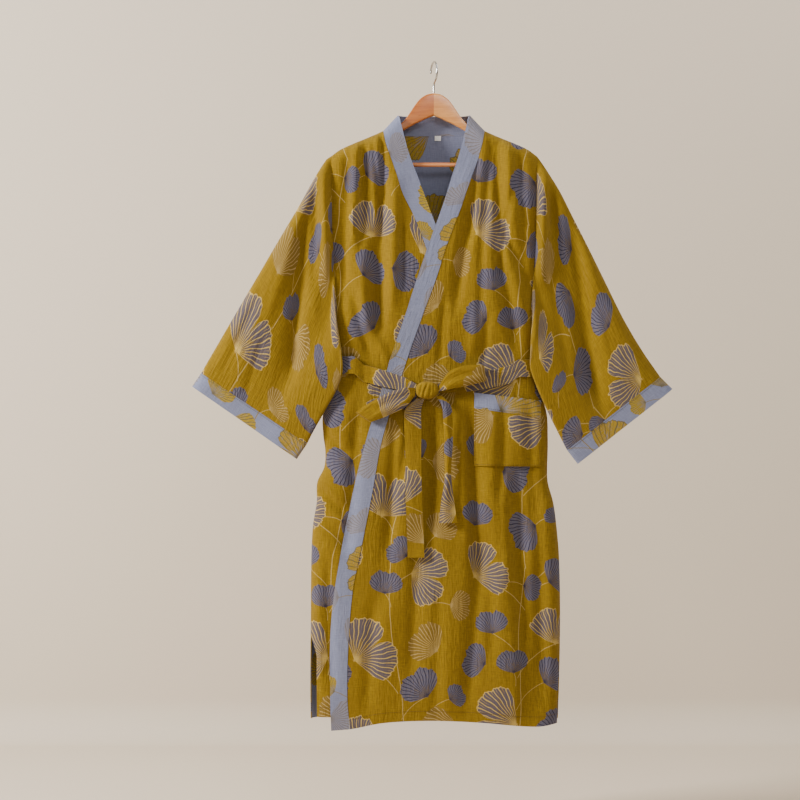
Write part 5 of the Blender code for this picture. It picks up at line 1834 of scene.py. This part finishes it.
makeLabel()
print("label sewn in")


# sewing: rows of stitches on the finished pieces

sewing = {
    # longer and thicker than real stitches, so that they show
    "step": 0.0036,
    "long": 0.0024,
    "wide": 0.0007,
    "high": 0.0004,
    "fromStart": 0.002,
    "fromEnd": 0.004,
    "joined": 0.01,            # a row whose ends are nearer than this runs all round
    "threads": {"dark": "#4C4640", "mustard": "#5E4604"},
    # piece, edge (first or last of its rows or columns), distance in from it, thread
    "lines": [
        ("neckband_right", "firstColumn", 0.0028, "dark"),
        ("neckband_right", "lastColumn", 0.0028, "dark"),
        ("neckband_left", "firstColumn", 0.0028, "dark"),
        ("neckband_left", "lastColumn", 0.0028, "dark"),
        ("right_cuff_band", "firstRow", 0.0026, "dark"),
        ("left_cuff_band", "firstRow", 0.0026, "dark"),
        ("right_front", "lastRow", 0.0180, "mustard"),
        ("left_front", "lastRow", 0.0180, "mustard"),
        ("back_panel", "lastRow", 0.0180, "mustard"),
        ("pocket_band", "lastRow", 0.0026, "dark"),
        ("pocket", "lastRow", 0.0026, "mustard"),
        ("pocket", "firstColumn", 0.0026, "mustard"),
        ("pocket", "lastColumn", 0.0026, "mustard"),
    ],
}


def makeThreadMaterial(thread):
    # matt cotton sewing thread
    material, _, shader = newMaterial(thread + "Thread", 0.8)
    shader.inputs["Base Color"].default_value = linearColour(sewing["threads"][thread])
    return material


def stitchPath(grid, edge, inset):
    # points at a distance in from an edge of the grid, and the way out of the cloth there
    rows = grid.transpose(1, 0, 2) if edge.endswith("Row") else grid
    if edge.startswith("last"):
        rows = rows[:, ::-1]
    path = []
    for row in rows:
        step = np.linalg.norm(np.diff(row, axis=0), axis=1)
        reach = np.concatenate([[0], np.cumsum(step)])
        path.append([np.interp(inset, reach, row[:, axis]) for axis in range(3)])
    path = np.array(path)
    across = rows[:, min(3, rows.shape[1] - 1)] - rows[:, 0]
    along = np.gradient(path, axis=0)
    out = np.cross(along, across)
    out /= np.maximum(np.linalg.norm(out, axis=1, keepdims=True), 1e-9)
    middle = grid.reshape(-1, 3).mean(axis=0)
    if np.linalg.norm(path[0] - path[-1]) < sewing["joined"]:
        turned = (out * (path - middle)).sum(axis=1) < 0
    else:
        turned = out[:, 1] * (1 if grid is grids["back_panel"] else -1) < 0
    return path, np.where(turned[:, None], -out, out)


def makeStitches():
    verts = {}
    faces = {}
    for piece, edge, inset, thread in sewing["lines"]:
        path, out = stitchPath(grids[piece], edge, inset)
        reach = np.concatenate([[0], np.cumsum(np.linalg.norm(np.diff(path, axis=0), axis=1))])
        held = verts.setdefault(thread, [])
        sides = faces.setdefault(thread, [])
        for start in np.arange(sewing["fromStart"], reach[-1] - sewing["fromEnd"], sewing["step"]):
            ends = []
            for at in (start, start + sewing["long"]):
                spot = np.array([np.interp(at, reach, path[:, axis]) for axis in range(3)])
                lift = np.array([np.interp(at, reach, out[:, axis]) for axis in range(3)])
                ends.append(spot + lift * (bodyForm["clothWall"] / 2))
            way = (ends[1] - ends[0]) / np.linalg.norm(ends[1] - ends[0])
            wide = np.cross(way, lift) * sewing["wide"] / 2
            high = lift * sewing["high"]
            first = len(held)
            for end in ends:
                held.extend([end - wide, end + wide, end + wide + high, end - wide + high])
            sides.extend([[first + i for i in face] for face in (
                (0, 1, 2, 3), (7, 6, 5, 4), (0, 4, 5, 1), (1, 5, 6, 2), (2, 6, 7, 3), (3, 7, 4, 0),
            )])
    for thread, points in verts.items():
        mesh = bpy.data.meshes.new(thread + "_stitches")
        mesh.from_pydata([tuple(map(float, point)) for point in points], [], faces[thread])
        mesh.materials.append(makeThreadMaterial(thread))
        piece = bpy.data.objects.new(thread + "_stitches", mesh)
        bpy.context.scene.collection.objects.link(piece)
        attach(piece, "root")


makeStitches()
print("seams stitched")


# hanger

hangerForm = {
    "halfDepth": 0.006,
    "round": 0.0035,
    "barZ": -0.1905,
    "barRadius": 0.0040,
    "barHalfLength": 0.1601,
    "wire": 0.0018,
    "bend": 0.0190,
    "turn": 17,
    "neck": [(0.0, -0.0560), (0.0, -0.0430), (-0.0015, -0.0385), (-0.0065, -0.0352)],
    "angles": range(222, -16, -14),
    "wireSides": 16,
    "tip": (0.9, 0.55),        # the wire's last two rings, in parts of its radius
    "cornerTurns": (0, 22, 45, 68, 90),
    "barRings": 13,
    "barSides": 32,
    "arm": [
        (0.0000, -0.0565, -0.0985),
        (0.0120, -0.0588, -0.1030),
        (0.0200, -0.0630, -0.1070),
        (0.0275, -0.0690, -0.1105),
        (0.0350, -0.0785, -0.1140),
        (0.0440, -0.0920, -0.1190),
        (0.0520, -0.1035, -0.1235),
        (0.0620, -0.1135, -0.1295),
        (0.0780, -0.1242, -0.1390),
        (0.0940, -0.1322, -0.1470),
        (0.1040, -0.1345, -0.1505),
        (0.1200, -0.1415, -0.1575),
        (0.1450, -0.1523, -0.1690),
        (0.1600, -0.1590, -0.1770),
        (0.1615, -0.1597, -0.1975),
        (0.1680, -0.1632, -0.2010),
        (0.1760, -0.1690, -0.2020),
        (0.1815, -0.1760, -0.1990),
        (0.1840, -0.1820, -0.1940),
    ],
}


def makeWoodMaterial(name, dark, light, leftHalfShaded):
    # lacquered beech stained orange: grain 70 mm long and 7 mm tall, darker flecks 6 mm long, a soft shine
    material, tree, shader = newMaterial(name, 0.36)
    place = addNode(tree, "ShaderNodeTexCoord").outputs["Object"]
    stretched = addNode(tree, "ShaderNodeMapping", None, {"Vector": place, "Scale": (9, 40, 90)})
    grain = addNode(tree, "ShaderNodeTexNoise", None, {
        "Vector": stretched, "Scale": 1.6, "Detail": 5.0, "Distortion": 0.8,
    })
    fleckPlace = addNode(tree, "ShaderNodeMapping", None, {"Vector": place, "Scale": (160, 700, 900)})
    flecks = addNode(tree, "ShaderNodeTexNoise", None, {"Vector": fleckPlace, "Scale": 1.0})
    tone = addNode(tree, "ShaderNodeMix", {"data_type": "RGBA"}, {
        0: addNode(tree, "ShaderNodeMapRange", None, {
            "Value": grain, "From Min": 0.35, "From Max": 0.65,
        }),
        6: linearColour(dark),
        7: linearColour(light),
    })
    flecked = addNode(tree, "ShaderNodeMix", {"data_type": "RGBA", "blend_type": "MULTIPLY"}, {
        0: addNode(tree, "ShaderNodeMapRange", None, {
            "Value": flecks, "From Min": 0.62, "From Max": 0.75, "To Max": 0.35,
        }),
        6: tone.outputs[2],
        7: linearColour("#805122"),
    }).outputs[2]
    if leftHalfShaded:
        # painted shade: the arms' left half is darkened, standing in for the side turned away from the key
        # light
        side = addNode(tree, "ShaderNodeSeparateXYZ", None, {0: place}).outputs[0]
        rightHalf = addNode(tree, "ShaderNodeMapRange", None, {
            "Value": side, "From Min": -0.0002, "From Max": 0.0002,
        })
        leftShaded = addNode(tree, "ShaderNodeMix", {"data_type": "RGBA", "blend_type": "MULTIPLY"}, {
            0: addNode(tree, "ShaderNodeMath", {"operation": "SUBTRACT"}, {0: 1.0, 1: rightHalf}),
            6: flecked,
            7: linearColour("#DBBA7E"),
        })
        flecked = leftShaded.outputs[2]
    tree.links.new(flecked, shader.inputs["Base Color"])
    bump = addNode(tree, "ShaderNodeBump", None, {"Height": grain, "Strength": 0.25, "Distance": 0.0004})
    tree.links.new(bump.outputs[0], shader.inputs["Normal"])
    shader.inputs["Coat Weight"].default_value = 0.35
    shader.inputs["Coat Roughness"].default_value = 0.18
    return material


def makeClosedRings(name, rings, material):
    rings = np.array(rings)
    rows, columns = rings.shape[:2]
    faces = [(r * columns + c, r * columns + (c + 1) % columns, (r + 1) * columns + (c + 1) % columns,
              (r + 1) * columns + c) for r in range(rows - 1) for c in range(columns)]
    faces.append(tuple(range(columns))[::-1])
    faces.append(tuple((rows - 1) * columns + c for c in range(columns)))
    mesh = bpy.data.meshes.new(name)
    mesh.from_pydata(rings.reshape(-1, 3).tolist(), [], faces)
    piece = bpy.data.objects.new(name, mesh)
    bpy.context.scene.collection.objects.link(piece)
    bpy.context.view_layer.objects.active = piece
    bpy.ops.object.select_all(action="DESELECT")
    piece.select_set(True)
    bpy.ops.object.mode_set(mode="EDIT")
    bpy.ops.mesh.select_all(action="SELECT")
    bpy.ops.mesh.normals_make_consistent(inside=False)
    bpy.ops.object.mode_set(mode="OBJECT")
    piece.select_set(False)
    mesh.shade_smooth()
    mesh.set_sharp_from_angle(angle=math.radians(bodyForm["sharpAngle"]))
    mesh.materials.append(material)
    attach(piece, "root")
    return piece


def makeHanger():
    # the arms' wood, with painted shade on their left half
    wood = makeWoodMaterial("lacqueredBeech", "#C07630", "#D6924A", True)
    barWood = makeWoodMaterial("lacqueredBar", "#B8692F", "#CE8246", False)
    half = hangerForm["halfDepth"]
    arm = smoothRows(hangerForm["arm"], 3)
    stations = [(-1, row) for row in arm[::-1]] + [(1, row) for row in arm[1:]]
    rings = []
    for side, (x, top, low) in stations:
        y = -bodyForm["shoulderSweep"] * (x / bodyForm["shoulderTip"]) ** 2
        middle = (top + low) / 2
        tall = (top - low) / 2
        corner = min(hangerForm["round"], tall * 0.8)
        ring = []
        for sideY, sideZ in ((1, 1), (-1, 1), (-1, -1), (1, -1)):
            turns = np.radians(hangerForm["cornerTurns"])
            if sideY * sideZ < 0:
                turns = turns[::-1]
            for turn in turns:
                ring.append((side * x, y + sideY * (half - corner + corner * math.cos(turn)),
                             middle + sideZ * (tall - corner + corner * math.sin(turn))))
        rings.append(ring)
    arms = makeClosedRings("hanger_arms_wood", rings, wood)
    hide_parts("hanger_arms")

    y = -bodyForm["shoulderSweep"] * (hangerForm["barHalfLength"] / bodyForm["shoulderTip"]) ** 2
    rings = []
    radius = hangerForm["barRadius"]
    turns = np.linspace(0, 2 * np.pi, hangerForm["barSides"], endpoint=False)
    for x in np.linspace(-hangerForm["barHalfLength"], hangerForm["barHalfLength"], hangerForm["barRings"]):
        rings.append([
            (x, y + radius * math.cos(t), hangerForm["barZ"] + radius * math.sin(t)) for t in turns
        ])
    bar = makeClosedRings("hanger_bar_wood", rings, barWood)
    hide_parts("hanger_bar")


def makeHook():
    # bright plated wire: smooth, mirror-like, with faint drawing marks along it
    material, tree, shader = newMaterial("platedSteelWire", 0.24, 1.0)
    place = addNode(tree, "ShaderNodeTexCoord").outputs["Object"]
    marks = addNode(tree, "ShaderNodeTexNoise", None, {"Vector": place, "Scale": 900.0, "Detail": 2.0})
    rough = addNode(tree, "ShaderNodeMapRange", None, {"Value": marks, "To Min": 0.18, "To Max": 0.34})
    tree.links.new(rough.outputs[0], shader.inputs["Roughness"])
    shader.inputs["Base Color"].default_value = linearColour("#B9B7B3")
    centreZ = hangerForm["wire"] - hangerForm["bend"]
    route = list(hangerForm["neck"])
    for angle in hangerForm["angles"]:
        turn = math.radians(angle)
        route.append((hangerForm["bend"] * math.cos(turn), centreZ + hangerForm["bend"] * math.sin(turn)))
    route = smoothRows(route, 4)
    way = np.gradient(route, axis=0)
    way = way / np.linalg.norm(way, axis=1, keepdims=True)
    turned = math.radians(hangerForm["turn"])
    out = np.array([-math.sin(turned), math.cos(turned)])
    side = np.array([math.cos(turned), math.sin(turned)])
    rings = []
    last = len(route) - 1
    for i, ((reach, z), (wayOut, wayUp)) in enumerate(zip(route, way)):
        # the wire's free end is rounded off
        radius = hangerForm["wire"] * (1.0 if i < last - 1 else hangerForm["tip"][i - last + 1])
        ring = []
        for t in np.linspace(0, 2 * np.pi, hangerForm["wireSides"], endpoint=False):
            across = radius * math.cos(t)
            up = radius * math.sin(t)
            flat = out * (reach - wayUp * up) + side * across
            ring.append((flat[0], flat[1], z + wayOut * up))
        rings.append(ring)
    hook = makeClosedRings("hanger_hook_wire", rings, material)
    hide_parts("hanger_hook")


makeHanger()
makeHook()
print("hanger made")
